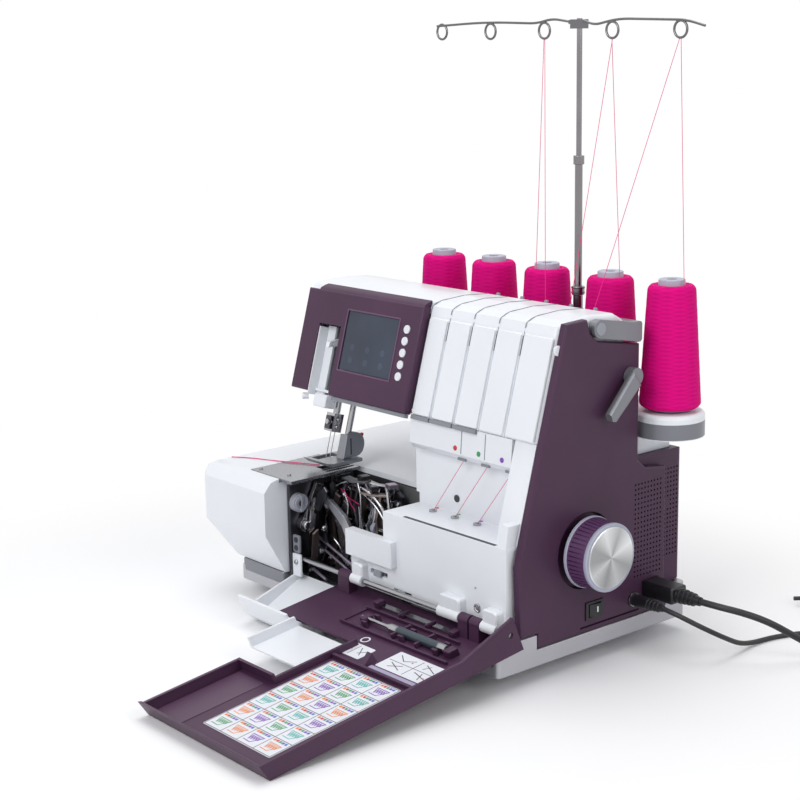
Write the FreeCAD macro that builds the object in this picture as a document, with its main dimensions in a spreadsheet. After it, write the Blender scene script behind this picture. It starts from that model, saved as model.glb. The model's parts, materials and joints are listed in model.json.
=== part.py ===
import FreeCAD
import Part
import math
import os
import Sketcher

# Overlock sewing machine, millimetres. The script models in the machine's own axes: X to the
# right, Y to the back, Z up, from the lower front right corner of the base. Each finished
# sub-part is then shifted so that its feet stand on Z = 0 and the whole part is centred.

DIMS = {
    # place of the machine's corner in the part's frame
    "frame_x": 181.86, "frame_y": 3.07, "feet_height": 14,
    # base
    "base_length": 368, "base_depth": 236, "base_wall": 6, "base_floor": 4, "base_low": 10,
    "base_band": 15, "base_side": 28, "base_rear": 33, "foot_radius": 11, "foot_inset": 62,
    # covers
    "wall": 3, "cover_rim": 7, "bench_z": 191, "top_z": 291.5, "tower_left": -166, "tower_right": -8,
    "tower_back": 158, "panel_y": 18, "recess_y": 62, "shelf_z": 107, "bed_left": -400,
    "bed_right": -172.5, "bed_top": 116, "bed_front": -20, "bed_back": 240, "cavity_left": -297,
    "cavity_back": 82, "head_left": -346, "head_right": -168, "rear_left": -172, "rear_top": 158,
    # leaning front of the head
    "lean": 15.8, "lean_y": 52.4, "lean_z": 191, "fascia_left": -336, "fascia_right": -167,
    "fascia_proud": 9, "fascia_high": 97, "slot_left": -310, "slot_right": -277.5, "slot_high": 65,
    "screen_left": -270, "screen_right": -196, "screen_low": 25.5, "screen_high": 81.6,
    "button_x": -184, "button_low": 30.6, "button_pitch": 10.85, "button_radius": 4,
    # needle, presser foot and take-up lever
    "needle_x": -300, "needle_in": 24.6, "needle_radius": 3.5, "presser_x": -285,
    "presser_in": 31.2, "presser_radius": 3, "lever_y": 130, "lever_z": 232,
    # drive
    "shaft_y": 104.5, "shaft_z": 90, "shaft_radius": 6, "motor_y": 190, "motor_z": 75,
    "wheel_radius": 31, "hub_radius": 14, "pulley_radius": 9, "fit": 0.05,
    # door
    "hinge_y": 12, "hinge_z": 37, "door_open": 112.2, "door_right": 3.5, "door_left": -165,
    "door_step": -118, "rod_radius": 2.5,
    # handle and lifter
    "handle_y": 119, "handle_z": 281, "lifter_y": 157, "lifter_z": 235.5,
    # spool stand
    "stand_y": 208, "mast_x": -110, "spool_gap": 80, "spool_pitch": 72, "tray_low": 176,
    "tray_high": 198, "lobe_radius": 31, "cone_low": 201, "cone_high": 309, "bar_z": 532,
    # leads
    "mains_radius": 3, "foot_lead_radius": 2.25, "mains_y": 188, "mains_z": 38.5,
    "pedal_y": 165.5, "pedal_z": 31.6,
}

V = FreeCAD.Vector
Turn = FreeCAD.Rotation
X_AXIS, Y_AXIS, Z_AXIS = V(1, 0, 0), V(0, 1, 0), V(0, 0, 1)

os.makedirs("parts", exist_ok=True)
doc = FreeCAD.newDocument("overlock_machine")
sheet = doc.addObject("Spreadsheet::Sheet", "dims")
for row, (name, value) in enumerate(DIMS.items(), start=1):
    sheet.set(f"A{row}", name)
    sheet.set(f"B{row}", str(value))
    sheet.setAlias(f"B{row}", name)
doc.recompute()

OFFSETS = {}
NODES = []


# Formulas: sheet names and numbers, parted by spaces

def size(formula):
    """Value of a sum of products, such as 'bed_top - 2 * wall'."""
    total = 0.0
    for term in str(formula).replace(" - ", " + -1 * ").split(" + "):
        product = 1.0
        for factor in term.split(" * "):
            product *= DIMS[factor] if factor in DIMS else float(factor)
        total += product
    return total


def bind(obj, prop, formula):
    """Drive a property from the sheet."""
    words = ["dims." + word if word in DIMS else word for word in str(formula).split()]
    obj.setExpression(prop, " ".join(words))


def place(obj, *corner):
    """Put an object's own origin at a corner given as formulas."""
    OFFSETS[obj.Name] = corner
    for axis, formula in zip("xyz", corner):
        bind(obj, f"Placement.Base.{axis}", formula)
    return obj


# Solids

def box(xs, ys, zs):
    """Box between two limits on each axis."""
    obj = doc.addObject("Part::Box", "box")
    for prop, (low, high) in zip(("Length", "Width", "Height"), (xs, ys, zs)):
        bind(obj, prop, f"{high} - ( {low} )")
    return place(obj, xs[0], ys[0], zs[0])


ALONG = {"x": Turn(Y_AXIS, 90), "y": Turn(X_AXIS, -90), "z": Turn()}


def rod(axis, start, radius, length, end_radius=None):
    """Cylinder, or cone when its end has another radius, along an axis from its first end."""
    if end_radius is None:
        obj = doc.addObject("Part::Cylinder", "rod")
        bind(obj, "Radius", radius)
    else:
        obj = doc.addObject("Part::Cone", "cone")
        bind(obj, "Radius1", radius)
        bind(obj, "Radius2", end_radius)
    bind(obj, "Height", length)
    obj.Placement.Rotation = ALONG[axis]
    return place(obj, *start)


def inclined(x, inward, along):
    """Point on the leaning front: inward is depth behind it, along is measured up it."""
    angle = math.radians(DIMS["lean"])
    y = DIMS["lean_y"] + inward * math.cos(angle) + along * math.sin(angle)
    z = DIMS["lean_z"] - inward * math.sin(angle) + along * math.cos(angle)
    return x, y, z


LEAN = Turn(X_AXIS, -DIMS["lean"])


def lean_box(xs, inward, along):
    """Box square to the leaning front."""
    obj = doc.addObject("Part::Box", "lean_box")
    for prop, (low, high) in zip(("Length", "Width", "Height"), (xs, inward, along)):
        bind(obj, prop, f"{high} - ( {low} )")
    obj.Placement.Rotation = LEAN
    return place(obj, *inclined(size(xs[0]), size(inward[0]), size(along[0])))


def lean_rod(x, inward, along, radius):
    """Cylinder up the leaning front."""
    obj = doc.addObject("Part::Cylinder", "lean_rod")
    bind(obj, "Radius", radius)
    bind(obj, "Height", f"{along[1]} - ( {along[0]} )")
    obj.Placement.Rotation = LEAN
    return place(obj, *inclined(size(x), size(inward), size(along[0])))


def lean_stud(x, inward, along, radius):
    """Cylinder square to the leaning front."""
    obj = doc.addObject("Part::Cylinder", "lean_stud")
    bind(obj, "Radius", radius)
    bind(obj, "Height", f"{inward[1]} - ( {inward[0]} )")
    obj.Placement.Rotation = LEAN.multiply(ALONG["y"])
    return place(obj, *inclined(size(x), size(inward[0]), size(along)))


PLANES = {"x": "YZ_Plane", "y": "XZ_Plane", "z": "XY_Plane"}


def pad(axis, outline, span):
    """Prism along an axis whose outline's corners are formulas in the other two axes."""
    body = doc.addObject("PartDesign::Body", "prism")
    sketch = body.newObject("Sketcher::SketchObject", "outline")
    plane = [item for item in body.Origin.OriginFeatures if item.Role == PLANES[axis]][0]
    sketch.AttachmentSupport = (plane, [""])
    sketch.MapMode = "FlatFace"
    corners = [V(size(a), size(b), 0) for a, b in outline]
    for corner, after in zip(corners, corners[1:] + corners[:1]):
        sketch.addGeometry(Part.LineSegment(corner, after), False)
    count = len(corners)
    for i in range(count):
        sketch.addConstraint(Sketcher.Constraint("Coincident", i, 2, (i + 1) % count, 1))
    for i, corner in enumerate(corners):
        for kind, value, formula in zip(("DistanceX", "DistanceY"), corner, outline[i]):
            index = sketch.addConstraint(Sketcher.Constraint(kind, -1, 1, i, 1, value))
            if any(word in DIMS for word in str(formula).split()):
                bind(sketch, f"Constraints[{index}]", formula)
    feature = body.newObject("PartDesign::Pad", "pad")
    feature.Profile = sketch
    feature.Reversed = axis == "y"
    bind(feature, "Length", f"{span[1]} - ( {span[0]} )")
    corner = {"x": (span[0], 0, 0), "y": (0, span[0], 0), "z": (0, 0, span[0])}[axis]
    return place(body, *corner)


def inset(outline, depth):
    """Outline moved inwards by a depth on every side."""
    points = [V(size(a), size(b), 0) for a, b in outline]
    area = sum(a.x * b.y - b.x * a.y for a, b in zip(points, points[1:] + points[:1]))
    side = math.copysign(depth, area)
    moved = []
    for before, corner, after in zip(points[-1:] + points[:-1], points, points[1:] + points[:1]):
        first = (corner - before).normalize()
        second = (after - corner).normalize()
        normal = V(-first.y, first.x, 0) + V(-second.y, second.x, 0)
        shift = normal * (2 * side / normal.dot(normal))
        moved.append((corner.x + shift.x, corner.y + shift.y))
    return moved


def fuse(*shapes):
    obj = doc.addObject("Part::MultiFuse", "fusion")
    obj.Shapes = list(shapes)
    obj.Refine = True
    return obj


def cut(base, *tools):
    obj = doc.addObject("Part::Cut", "cut")
    obj.Base = base
    obj.Tool = tools[0] if len(tools) == 1 else fuse(*tools)
    return obj


def fillet(base, radius, pick):
    """Round the edges that a test on the edge picks."""
    doc.recompute()
    chosen = [i for i, edge in enumerate(base.Shape.Edges, start=1) if pick(edge)]
    obj = doc.addObject("Part::Fillet", "fillet")
    obj.Base = base
    obj.Edges = [(i, radius, radius) for i in chosen]
    return obj


def upright(edge):
    """Whether an edge stands straight up."""
    first, last = edge.Vertexes[0].Point, edge.Vertexes[-1].Point
    return abs((last - first).z) > 0.99 * edge.Length


def node(label, obj, swing=False):
    """Name a finished sub-part and shift it into the part's frame; door pieces swing open."""
    offset = OFFSETS.get(obj.Name, (0, 0, 0))
    shift = ("frame_x", "frame_y", "feet_height")
    obj.Label = label
    if swing:
        turn = Turn(X_AXIS, DIMS["door_open"])
        pivot = V(0, DIMS["hinge_y"], DIMS["hinge_z"])
        rest = pivot - turn.multVec(pivot) + turn.multVec(V(*[size(part) for part in offset]))
        obj.Placement.Rotation = turn.multiply(obj.Placement.Rotation)
        offset = (rest.x, rest.y, rest.z)
    for axis, part, move in zip("xyz", offset, shift):
        bind(obj, f"Placement.Base.{axis}", f"{part} + {move}")
    NODES.append(obj)
    return obj


def solid(shape):
    """Document object for a shape that no feature makes."""
    obj = doc.addObject("Part::Feature", "shape")
    obj.Shape = shape
    return obj


# Tubes: straight runs joined by tangent arcs

def route(points, share=0.45):
    """Edges of a bent tube's middle line, and the radii of its bends."""
    edges, radii = [], []
    start = points[0]
    for before, corner, after in zip(points, points[1:], points[2:]):
        back = before - corner
        ahead = after - corner
        trim = share * min(back.Length, ahead.Length)
        half = back.getAngle(ahead) / 2
        back, ahead = back.normalize(), ahead.normalize()
        radius = trim * math.tan(half)
        bisector = (back + ahead).normalize()
        middle = corner + bisector * (trim / math.cos(half) - radius)
        enter, leave = corner + back * trim, corner + ahead * trim
        edges.append(Part.LineSegment(start, enter).toShape())
        edges.append(Part.Arc(enter, middle, leave).toShape())
        radii.append(radius)
        start = leave
    edges.append(Part.LineSegment(start, points[-1]).toShape())
    return edges, radii


def tube(edges, radius, label):
    """Round tube on a chain of edges, checked against section times length."""
    path = Part.Wire(edges)
    first = edges[0]
    ring = Part.Wire([Part.makeCircle(radius, first.valueAt(first.FirstParameter),
                                      first.tangentAt(first.FirstParameter))])
    shape = path.makePipeShell([ring], True, False)
    expected = math.pi * radius ** 2 * path.Length
    print(f"{label}: length {path.Length:.1f} mm, volume {shape.Volume / expected:.4f} of section x length")
    return shape


def bent_tube(points, radius, label, share=0.45):
    edges, radii = route([V(*point) for point in points], share)
    print(f"{label}: bend radii {', '.join(f'{bend:.0f}' for bend in radii)} mm")
    return tube(edges, radius, label)


def arc_from(start, tangent, end):
    """Arc that leaves a point along a tangent and reaches another point."""
    chord = end - start
    along = V(chord).normalize()
    side = tangent - along * tangent.dot(along)
    if side.Length < 1e-6:
        return Part.LineSegment(start, end).toShape()
    angle = tangent.getAngle(chord)
    middle = start + chord * 0.5 + V(side).normalize() * (chord.Length / 2 * math.tan(angle / 2))
    return Part.Arc(start, middle, end).toShape()


def biarc(start, leave, end, arrive):
    """Two tangent arcs between two points with given directions."""
    chord = end - start
    both = leave + arrive
    bend = 2 * (1 - leave.dot(arrive))
    reach = chord.dot(both)
    handle = (math.sqrt(reach ** 2 + bend * chord.dot(chord)) - reach) / bend
    joint = (start + end + (leave - arrive) * handle) * 0.5
    second = arc_from(end, arrive * -1, joint)
    points = [second.valueAt(second.ParameterRange[i]) for i in (0, 1)]
    middle = second.valueAt(sum(second.ParameterRange) / 2)
    return [arc_from(start, leave, joint), Part.Arc(points[1], middle, points[0]).toShape()]


class Coil:
    """Two layers of turns: spiral in below, climb over half a turn, spiral out above."""

    def __init__(self, centre, radius, middle, turns, start_degrees, sense, tail):
        self.centre, self.radius, self.turns, self.sense = centre, radius, turns, sense
        self.tail = tail
        self.pitch = 2 * radius + 0.7
        self.inner = middle - self.pitch * turns / 2
        self.start = math.radians(start_degrees)

    def point(self, turn):
        """Middle line after a number of turns."""
        climb = min(max(turn - self.turns, 0.0) / 0.5, 1.0)
        rest = max(turn - self.turns - 0.5, 0.0)
        reach = self.inner + self.pitch * (max(self.turns - turn, 0.0) + rest)
        reach -= 0.25 * self.pitch * math.sin(math.pi * climb)
        angle = self.start + self.sense * 2 * math.pi * turn
        lift = self.pitch * (1 - math.cos(math.pi * climb)) / 2
        return self.centre + V(reach * math.cos(angle), reach * math.sin(angle), self.radius + lift)

    def heading(self, turn):
        small = 1e-4
        return (self.point(turn + small) - self.point(turn - small)).normalize()

    def ends(self):
        """First and last points of the tube: a diameter before the turns, a tail after them."""
        last = 2 * self.turns + 0.5
        first = self.point(0) - self.level(0) * (2 * self.radius)
        return first, self.point(last) + self.level(last) * self.tail

    def level(self, turn):
        """Heading without its slope."""
        flat = self.heading(turn)
        return V(flat.x, flat.y, 0).normalize()

    def edges(self):
        last = 2 * self.turns + 0.5
        count = round(last * 4)
        turns = [last * i / count for i in range(count + 1)]
        points = [self.point(turn) for turn in turns]
        headings = [self.heading(turn) for turn in turns]
        headings[0], headings[-1] = self.level(0), self.level(last)
        first, final = self.ends()
        chain = [Part.LineSegment(first, points[0]).toShape()]
        for i in range(count):
            chain += biarc(points[i], headings[i], points[i + 1], headings[i + 1])
        chain.append(Part.LineSegment(points[-1], final).toShape())
        return chain

    def report(self, chain, label):
        """Print the least gap between turns, measured on points of the middle line."""
        points, reached, travelled = [], [], 0.0
        for edge in chain:
            for point in edge.discretize(5)[:-1]:
                if points:
                    travelled += (point - points[-1]).Length
                points.append(point)
                reached.append(travelled)
        apart = self.inner * 3
        gap = min((points[i] - points[j]).Length for i in range(len(points)) for j in range(i)
                  if reached[i] - reached[j] > apart)
        print(f"{label}: least gap between turns {gap - 2 * self.radius:.2f} mm, "
              f"inner radius {self.inner:.1f}")


# Base and frame

def base_tray():
    outer = box(("-1 * base_length", 0), (0, "base_depth"), (0, "base_band"))
    rear = box(("rear_left", 0), ("base_depth - 26", "base_depth"), (0, "base_rear"))
    side = box(("-1 * base_wall", 0), (0, 46), (0, "base_side"))
    outer = fillet(outer, 4, upright)
    rear = fillet(rear, 4, lambda edge: (upright(edge) and edge.BoundBox.XMin > -1
                                         and edge.BoundBox.YMin > 230))
    side = fillet(side, 4, lambda edge: (upright(edge) and edge.BoundBox.XMin > -1
                                         and edge.BoundBox.YMax < 1))
    whole = fuse(outer, rear, side)
    inside = ("-1 * base_length + base_wall", "-1 * base_wall")
    pocket = box(inside, ("base_wall", "base_depth - base_wall"), ("base_floor", 60))
    front = box(inside, (-5, 30), ("base_low", 60))
    notch = box((-297, -211), (-5, 30), (6, 60))
    node("base_tray", cut(whole, pocket, front, notch))


def feet():
    inset_x, inset_y = "foot_inset", "foot_inset"
    places = [(f"-1 * {inset_x}", inset_y), (f"-1 * {inset_x}", f"base_depth - {inset_y}"),
              (f"{inset_x} - base_length", inset_y), (f"{inset_x} - base_length", f"base_depth - {inset_y}")]
    pads = [rod("z", (x, y, "-1 * feet_height"), "foot_radius - 1", "feet_height", "foot_radius + 1")
            for x, y in places]
    node("feet", fuse(*pads))


def inner_frame():
    floor = box((-350, -12), (10, 196), ("base_floor", 10))
    wing = [(66, 9), (66, 215), (84, 276), (154, 276), (154, 9)]
    right = pad("x", wing, (-40, -34))
    carrier = box((-40, -34), (150, 217), (10, 106))
    left = pad("x", wing, (-166, -160))
    tie = box((-160, -40), (140, 154), (200, 230))
    beam = box((-284, -160), (112, 150), (212, 262))
    low_guide = box((-312, -272), (70, 150), (204, 212))
    high_guide = box((-312, -272), (84, 150), (262, 269))
    cheek = box((-312, -307), (112, 150), (204, 269))
    pin = rod("x", (-307.5, "lever_y", "lever_z"), 4, 24)
    bores = [rod("x", (-170, "shaft_y", "shaft_z"), 11, 140),
             rod("x", (-45, "motor_y", "motor_z"), 8, 15),
             lean_rod("needle_x", "needle_in", (-10, 110), "needle_radius + fit"),
             lean_rod("presser_x", "presser_in", (-10, 110), "presser_radius + fit")]
    whole = fuse(floor, right, carrier, left, tie, beam, low_guide, high_guide, cheek, pin)
    node("inner_frame", cut(whole, *bores))


# Covers

RIGHT_OUTLINE = [("46.7", "base_side + 0.7"), (26.7, "base_side + 0.7"), (24.5, 90.6), (80, 289.3),
                 (105, 290.4), (109, 278), (118, 270.5), (170, 262), (170, 158.4), (180, 150),
                 (207, 146), (207, "base_band + 0.5"), ("46.7", "base_band + 0.5")]


def vent_grid(x, ys, zs, columns, rows, side):
    """Block of small square holes through a wall that faces along X."""
    pins = []
    for column in range(columns):
        for row in range(rows):
            y = ys[0] + (ys[1] - ys[0]) * column / (columns - 1)
            z = zs[0] + (zs[1] - zs[0]) * row / (rows - 1)
            pins.append(Part.makeBox(20, side, side, V(x, y - side / 2, z - side / 2)))
    return solid(Part.makeCompound(pins))


def right_cover():
    plate = fillet(pad("x", RIGHT_OUTLINE, ("-1 * cover_rim", 0)), 2,
                   lambda edge: edge.BoundBox.XMin > -0.01)
    hollow = pad("x", inset(RIGHT_OUTLINE, DIMS["wall"]), (-20, "-1 * wall"))
    wheel = rod("x", (-20, "shaft_y", "shaft_z"), "wheel_radius + 3", 40)
    pivot = rod("x", (-20, "lifter_y", "lifter_z"), 4.3, 40)
    switch = box((-20, 20), (104, 126.4), (26, 42.5))
    inlet = box((-20, 20), (177, 199), (30, 46))
    socket = rod("x", (-20, "pedal_y", "pedal_z"), 6.5, 40)
    vents = vent_grid(-10, (167, 200), (52, 136), 9, 20, 1.7)
    node("right_cover", cut(plate, hollow, wheel, pivot, switch, inlet, socket, vents))


def rear_cover():
    outer = box(("rear_left", "tower_right"), (161.5, 238), ("base_rear + 1", "rear_top"))
    outer = fillet(outer, 6, lambda edge: edge.BoundBox.YMin > 237.9 and edge.BoundBox.ZMax > 40)
    inner = box(("rear_left + wall", "tower_right - wall"), (150, "238 - wall"), (0, "rear_top - wall"))
    mast = rod("z", ("mast_x", "stand_y", 140), 5, 40)
    inlet = box((-20, 0), (176.5, 199.5), (20, 46.5))
    socket = rod("x", (-20, "pedal_y", "pedal_z"), 6.8, 20)
    vents = vent_grid(-15, (211, 231), (60, 140), 6, 20, 1.7)
    node("rear_cover", cut(outer, inner, mast, inlet, socket, vents))


BRACKETS = [(-205, -190), (-85, -58), (-30, -12)]
SLIDERS = {"stitch_slider": (-175, 47), "finger_slider": (-142, 36)}
PORTS = [-136, -107, -78]


def front_panel():
    low_face = box((-215, -9), ("panel_y", "panel_y + wall"), (30, 82))
    high_face = box(("head_right", -9), ("panel_y", "panel_y + wall"), (80, "shelf_z"))
    shelf = box(("head_right", -9), ("panel_y", "recess_y + wall"), ("shelf_z - wall", "shelf_z"))
    back = box(("head_right", -9), ("recess_y", "recess_y + wall"), ("shelf_z - wall", "bench_z - 0.5"))
    band = pad("x", [(50, 166), (52, 190.5), (63, 190.5), (63, 161), (54, 161)], (-167, -36))
    column = pad("x", [(54, 190.5), (30.5, 106), (63, 106), (63, 190.5)], (-34, -9))
    block = box((-215, -150), (11.5, "panel_y + 1"), (58, 82))
    side = box((-172, "head_right + 0.1"), ("recess_y", "tower_back - 1"), ("bed_top + 0.5", "bench_z - 0.5"))
    arms = []
    for left, right in BRACKETS:
        arms.append(rod("x", (left, "hinge_y", "hinge_z"), 5.2, right - left))
        arms.append(box((left, right), ("hinge_y", "panel_y + 1"), ("hinge_z - 5.2", "hinge_z + 5.2")))
    whole = fuse(low_face, high_face, shelf, back, band, column, block, side, *arms)
    holes = [rod("x", (-300, "hinge_y", "hinge_z"), "rod_radius + fit", 300)]
    for x, z in SLIDERS.values():
        holes.append(box((x - 12, x + 12), (0, 40), (z - 2.2, z + 2.2)))
    for x in PORTS:
        holes.append(rod("z", (x, 50, 90), 2.4, 40))
    node("front_panel", cut(whole, *holes))


HEAD_OUTLINE = [(52.7, "bench_z"), (79, 284), (83, 288.5), (92, 290.3), (118, "top_z"), (148, 289.5),
                ("tower_back", 284), ("tower_back", "bench_z")]
TOWER_OUTLINE = [(52.4, "bench_z"), (77.3, 279), (80, 286), (90, 289.8), (118, "top_z"), (148, 289.5),
                 ("tower_back", 284), ("tower_back", 160), (52.4, 160)]
GROOVES = [-139.7, -109.4, -78.2, -46.3]


def head_shell():
    outer = pad("x", HEAD_OUTLINE, ("head_left", "head_right"))
    outer = fillet(outer, 5, lambda edge: edge.BoundBox.XMax < DIMS["head_left"] + 0.01)
    inner = pad("x", inset(HEAD_OUTLINE, DIMS["wall"]), ("head_left + wall", "head_right + 5"))
    front = lean_box((-334, -160), (-20, 12), (3, 92))
    bars = box((-320, -266), (55, 112), (180, 200))
    boss = rod("x", ("head_left - 6", "handle_y", "handle_z"), 4, 7)
    node("head_shell", fuse(cut(outer, inner, front, bars), boss))


def tower_cover():
    outer = pad("x", TOWER_OUTLINE, ("tower_left", "tower_right"))
    outer = fillet(outer, 6, lambda edge: edge.BoundBox.XMin > -8.01 and edge.BoundBox.ZMin > 190)
    inner = pad("x", inset(TOWER_OUTLINE, DIMS["wall"]), ("tower_left - 5", "tower_right - wall"))
    below = box((-200, 20), (40, "tower_back - wall"), (150, "bench_z"))
    lines = [lean_box((x - 0.8, x + 0.8), (-10, 1.2), (-5, 91)) for x in GROOVES]
    boss = rod("x", ("tower_right - 1", "handle_y", "handle_z"), 4, 7)
    node("tower_cover", fuse(cut(outer, inner, below, *lines), boss))


def head_fascia():
    face = lean_box(("fascia_left", "fascia_right"), ("-1 * fascia_proud", -0.3), (-1, "fascia_high"))
    face = fillet(face, 2, lambda edge: edge.Length > 80 and edge.BoundBox.YMax < 72)
    hollow = lean_box(("fascia_left + wall", "fascia_right - wall"), ("wall - fascia_proud", 3),
                      (2, "fascia_high - wall"))
    slot = lean_box(("slot_left", "slot_right"), (-20, 3), (-9, "slot_high"))
    window = lean_box(("screen_left", "screen_right"), (-20, 3), ("screen_low", "screen_high"))
    holes = [lean_stud("button_x", (-20, 3), f"button_low + {i} * button_pitch", "button_radius + 0.15")
             for i in range(5)]
    node("head_fascia", cut(face, hollow, slot, window, *holes))


def touch_screen():
    node("touch_screen", lean_box(("screen_left + 0.2", "screen_right - 0.2"), (-8.3, -5),
                                  ("screen_low + 0.2", "screen_high - 0.2")))


def buttons():
    for i in range(5):
        along = f"button_low + {i} * button_pitch"
        cap = lean_stud("button_x", (-9.9, -5), along, "button_radius")
        flange = lean_stud("button_x", (-5.5, -3.5), along, "button_radius + 1")
        node(f"button_{i + 1}", fuse(cap, flange))


def circuit_board():
    board = lean_box((-272, -176), (1, 2.6), (8, 90))
    chip = lean_box((-240, -215), (2, 6), (40, 62))
    node("circuit_board", fuse(board, chip))


# each looper's pin, its depth and its outline
LOOPERS = {
    "upper_looper": ((-222, 50), 30, [(-216, 56), (-240, 84), (-262, 96), (-278, 98), (-280, 95), (-262, 88),
                                      (-244, 74), (-228, 44)]),
    "lower_looper": ((-250, 42), 40, [(-243, 46), (-258, 76), (-272, 88), (-282, 89), (-283, 86), (-270, 78),
                                      (-264, 66), (-257, 38)]),
}

BED_OUTLINE = [(2, 22), ("bed_front", 62), ("bed_front", 104), (-12, 113), (0, "bed_top"),
               ("bed_back", "bed_top"), ("bed_back", 62), (215, 22)]


def bed_cover():
    outer = pad("x", BED_OUTLINE, ("bed_left", "bed_right"))
    slope = pad("y", [(-410, 10), (-368, 10), ("bed_left", 62), (-410, 62)], (-50, 260))
    outer = fillet(cut(outer, slope), 5, lambda edge: edge.BoundBox.XMax < -399.9 and edge.Length > 30)
    hollow_outline = inset(BED_OUTLINE, DIMS["wall"])
    inner = pad("x", hollow_outline, ("bed_left + wall", "bed_right + 5"))
    inner = cut(inner, pad("y", [(-410, 10), (-364, 10), (-396.8, 62), (-410, 62)], (-50, 260)))
    under = box((-420, -160), (8, 209), (0, 26))
    cavity = box(("cavity_left", -160), (-60, "cavity_back"), (0, 130))
    plate = box((-344, "cavity_left + 1"), (-2, "cavity_back"), (100, 130))
    wall = pad("x", [(4, 24), (-18, 62), (-18, 104), (-11, 112), (42, 112), (42, 24)],
               (-300, "cavity_left"))
    shelf = box(("cavity_left", "bed_right"), ("cavity_back", "cavity_back + wall"), (30, "bed_top"))
    pins = [rod("y", (x, 70, z), 4.5, 30) for (x, z), _, _ in LOOPERS.values()]
    node("bed_cover", fuse(cut(outer, inner, under, cavity, plate), wall, cut(shelf, *pins)))


def stitch_plate():
    plate = box((-343.5, -279), (-1.5, "cavity_back - 0.5"), (113, "bed_top"))
    plate = fillet(plate, 5, lambda edge: upright(edge) and edge.BoundBox.XMax < -340)
    needle = box((-306, -295), (49, 63), (100, 130))
    feeds = [box((x - 2.2, x + 2.2), (46, 79.5), (100, 130)) for x in (-292, -286)]
    node("stitch_plate", cut(plate, needle, *feeds))


def side_sockets():
    frame = box((-12, 1.2), (104.3, 126.1), (26.3, 42.2))
    opening = box((-20, 20), (107.4, 123), (28.2, 40.3))
    bores = rod("z", (-2, 115.2, 20), "1.2 + fit", 30)
    ring = rod("x", (-12, "pedal_y", "pedal_z"), 6.2, 13.2)
    jack = rod("x", (-9, "pedal_y", "pedal_z"), 3.6, 20)
    inlet = box((-16, 0.8), (177.3, 198.7), (30.3, 45.7))
    well = box((-12, 20), (179.5, 196.5), (32.5, 44.5))
    node("side_sockets", fuse(cut(frame, opening, bores), cut(ring, jack), cut(inlet, well)))


def rocker():
    outline = [(-5, 108.8), (1.2, 108.8), (2.4, 115.2), (3.4, 121.7), (-5, 121.7)]
    pin = rod("z", (-2, 115.2, 26.8), 1.2, 14.9)
    node("rocker", fuse(pad("z", outline, (28.8, 39.7)), pin))


# Needle side

def needle_bar():
    node("needle_bar", lean_rod("needle_x", "needle_in", (-18, 99), "needle_radius"))


def needle_clamp():
    block = lean_box((-307, -294.8), ("needle_in - 6", "needle_in + 5.5"), (-36, -18.2))
    screw = lean_stud("needle_x", ("needle_in - 10", "needle_in"), -27, 2.6)
    needles = [lean_rod(f"needle_x + {side}", "needle_in", (-62.7, -30), 0.45) for side in (-3, 3)]
    node("needle_clamp", fuse(block, screw, *needles))


def presser_bar():
    node("presser_bar", lean_rod("presser_x", "presser_in", (-36, 97), "presser_radius"))


def presser_foot():
    shank = lean_box((-290, -280), ("presser_in - 5", "presser_in + 5"), (-66, -36.2))
    sole = pad("x", [(36, 128), (42, 123), (79, 123), (79, 126.5), (44, 126.5)], (-309, -271))
    needles = box((-306.5, -294.5), (44, 70), (100, 140))
    node("presser_foot", cut(fuse(shank, sole), needles, box((-330, -250), (0, 120), (100, 123))))


def take_up_lever():
    hub = rod("x", (-295, "lever_y", "lever_z"), 8, 4.5)
    arm = pad("x", [("lever_y", "lever_z + 6"), (72, 241), (58, 240), (56, 235), (72, 234.5),
                    ("lever_y", "lever_z - 6")], (-295, -290.5))
    eye = rod("x", (-300, 61.5, 237.5), 1.2, 20)
    bore = rod("x", (-300, "lever_y", "lever_z"), "4 + fit", 20)
    node("take_up_lever", cut(fuse(hub, arm), eye, bore))


# Looper chamber

def looper_bracket():
    back = box((-296, -200), (86, 90), (10.2, 112))
    floor = box((-296, -200), (34, 90), (10.2, 14))
    side = box((-296, -292), (6, 40), (18, 108))
    foot = box((-296, -280), (28, 40), (10.2, 20))
    pins = [rod("y", (x, y - 2, z), 4, 90 - y) for (x, z), y, _ in LOOPERS.values()]
    knife_pin = rod("x", (-294, 20, 68), 3, 12)
    dial_pin = rod("x", (-294, 14, 91), 3, 10)
    node("looper_bracket", fuse(back, floor, side, foot, knife_pin, dial_pin, *pins))


def loopers():
    for label, ((x, z), y, outline) in LOOPERS.items():
        arm = pad("y", outline, (y, y + 4))
        hub = rod("y", (x, y, z), 9, 6)
        bore = rod("y", (x, y - 10, z), "4 + fit", 30)
        node(label, cut(fuse(arm, hub), bore))


def upper_knife():
    hub = rod("x", (-291.6, 20, 68), 7, 6)
    arm = pad("x", [(15, 72), (31, 100), (34, 107), (42, 104), (36, 96), (25, 66)], (-290, -286))
    bore = rod("x", (-300, 20, 68), "3 + fit", 30)
    node("upper_knife", cut(fuse(hub, arm), bore))


def width_dial():
    disc = fillet(rod("x", (-291.6, 14, 91), 9, 7), 1, lambda edge: edge.BoundBox.XMin > -285)
    grip = box((-285, -282.5), (12.8, 15.2), (83, 99))
    bore = rod("x", (-300, 14, 91), "3 + fit", 16.5)
    node("width_dial", cut(fuse(disc, grip), bore))


def feed_dogs():
    bar = box((-295, -283.6), (50, 78), (104, 110))
    rows = []
    for x in (-292, -286):
        comb = [(51, 109)]
        for tooth in range(8):
            comb += [(51 + 3 * tooth, 115.5), (54 + 3 * tooth, 114.3)]
        rows.append(pad("x", comb + [(75, 109)], (x - 1.5, x + 1.5)))
    node("feed_dogs", fuse(bar, *rows))


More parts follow.
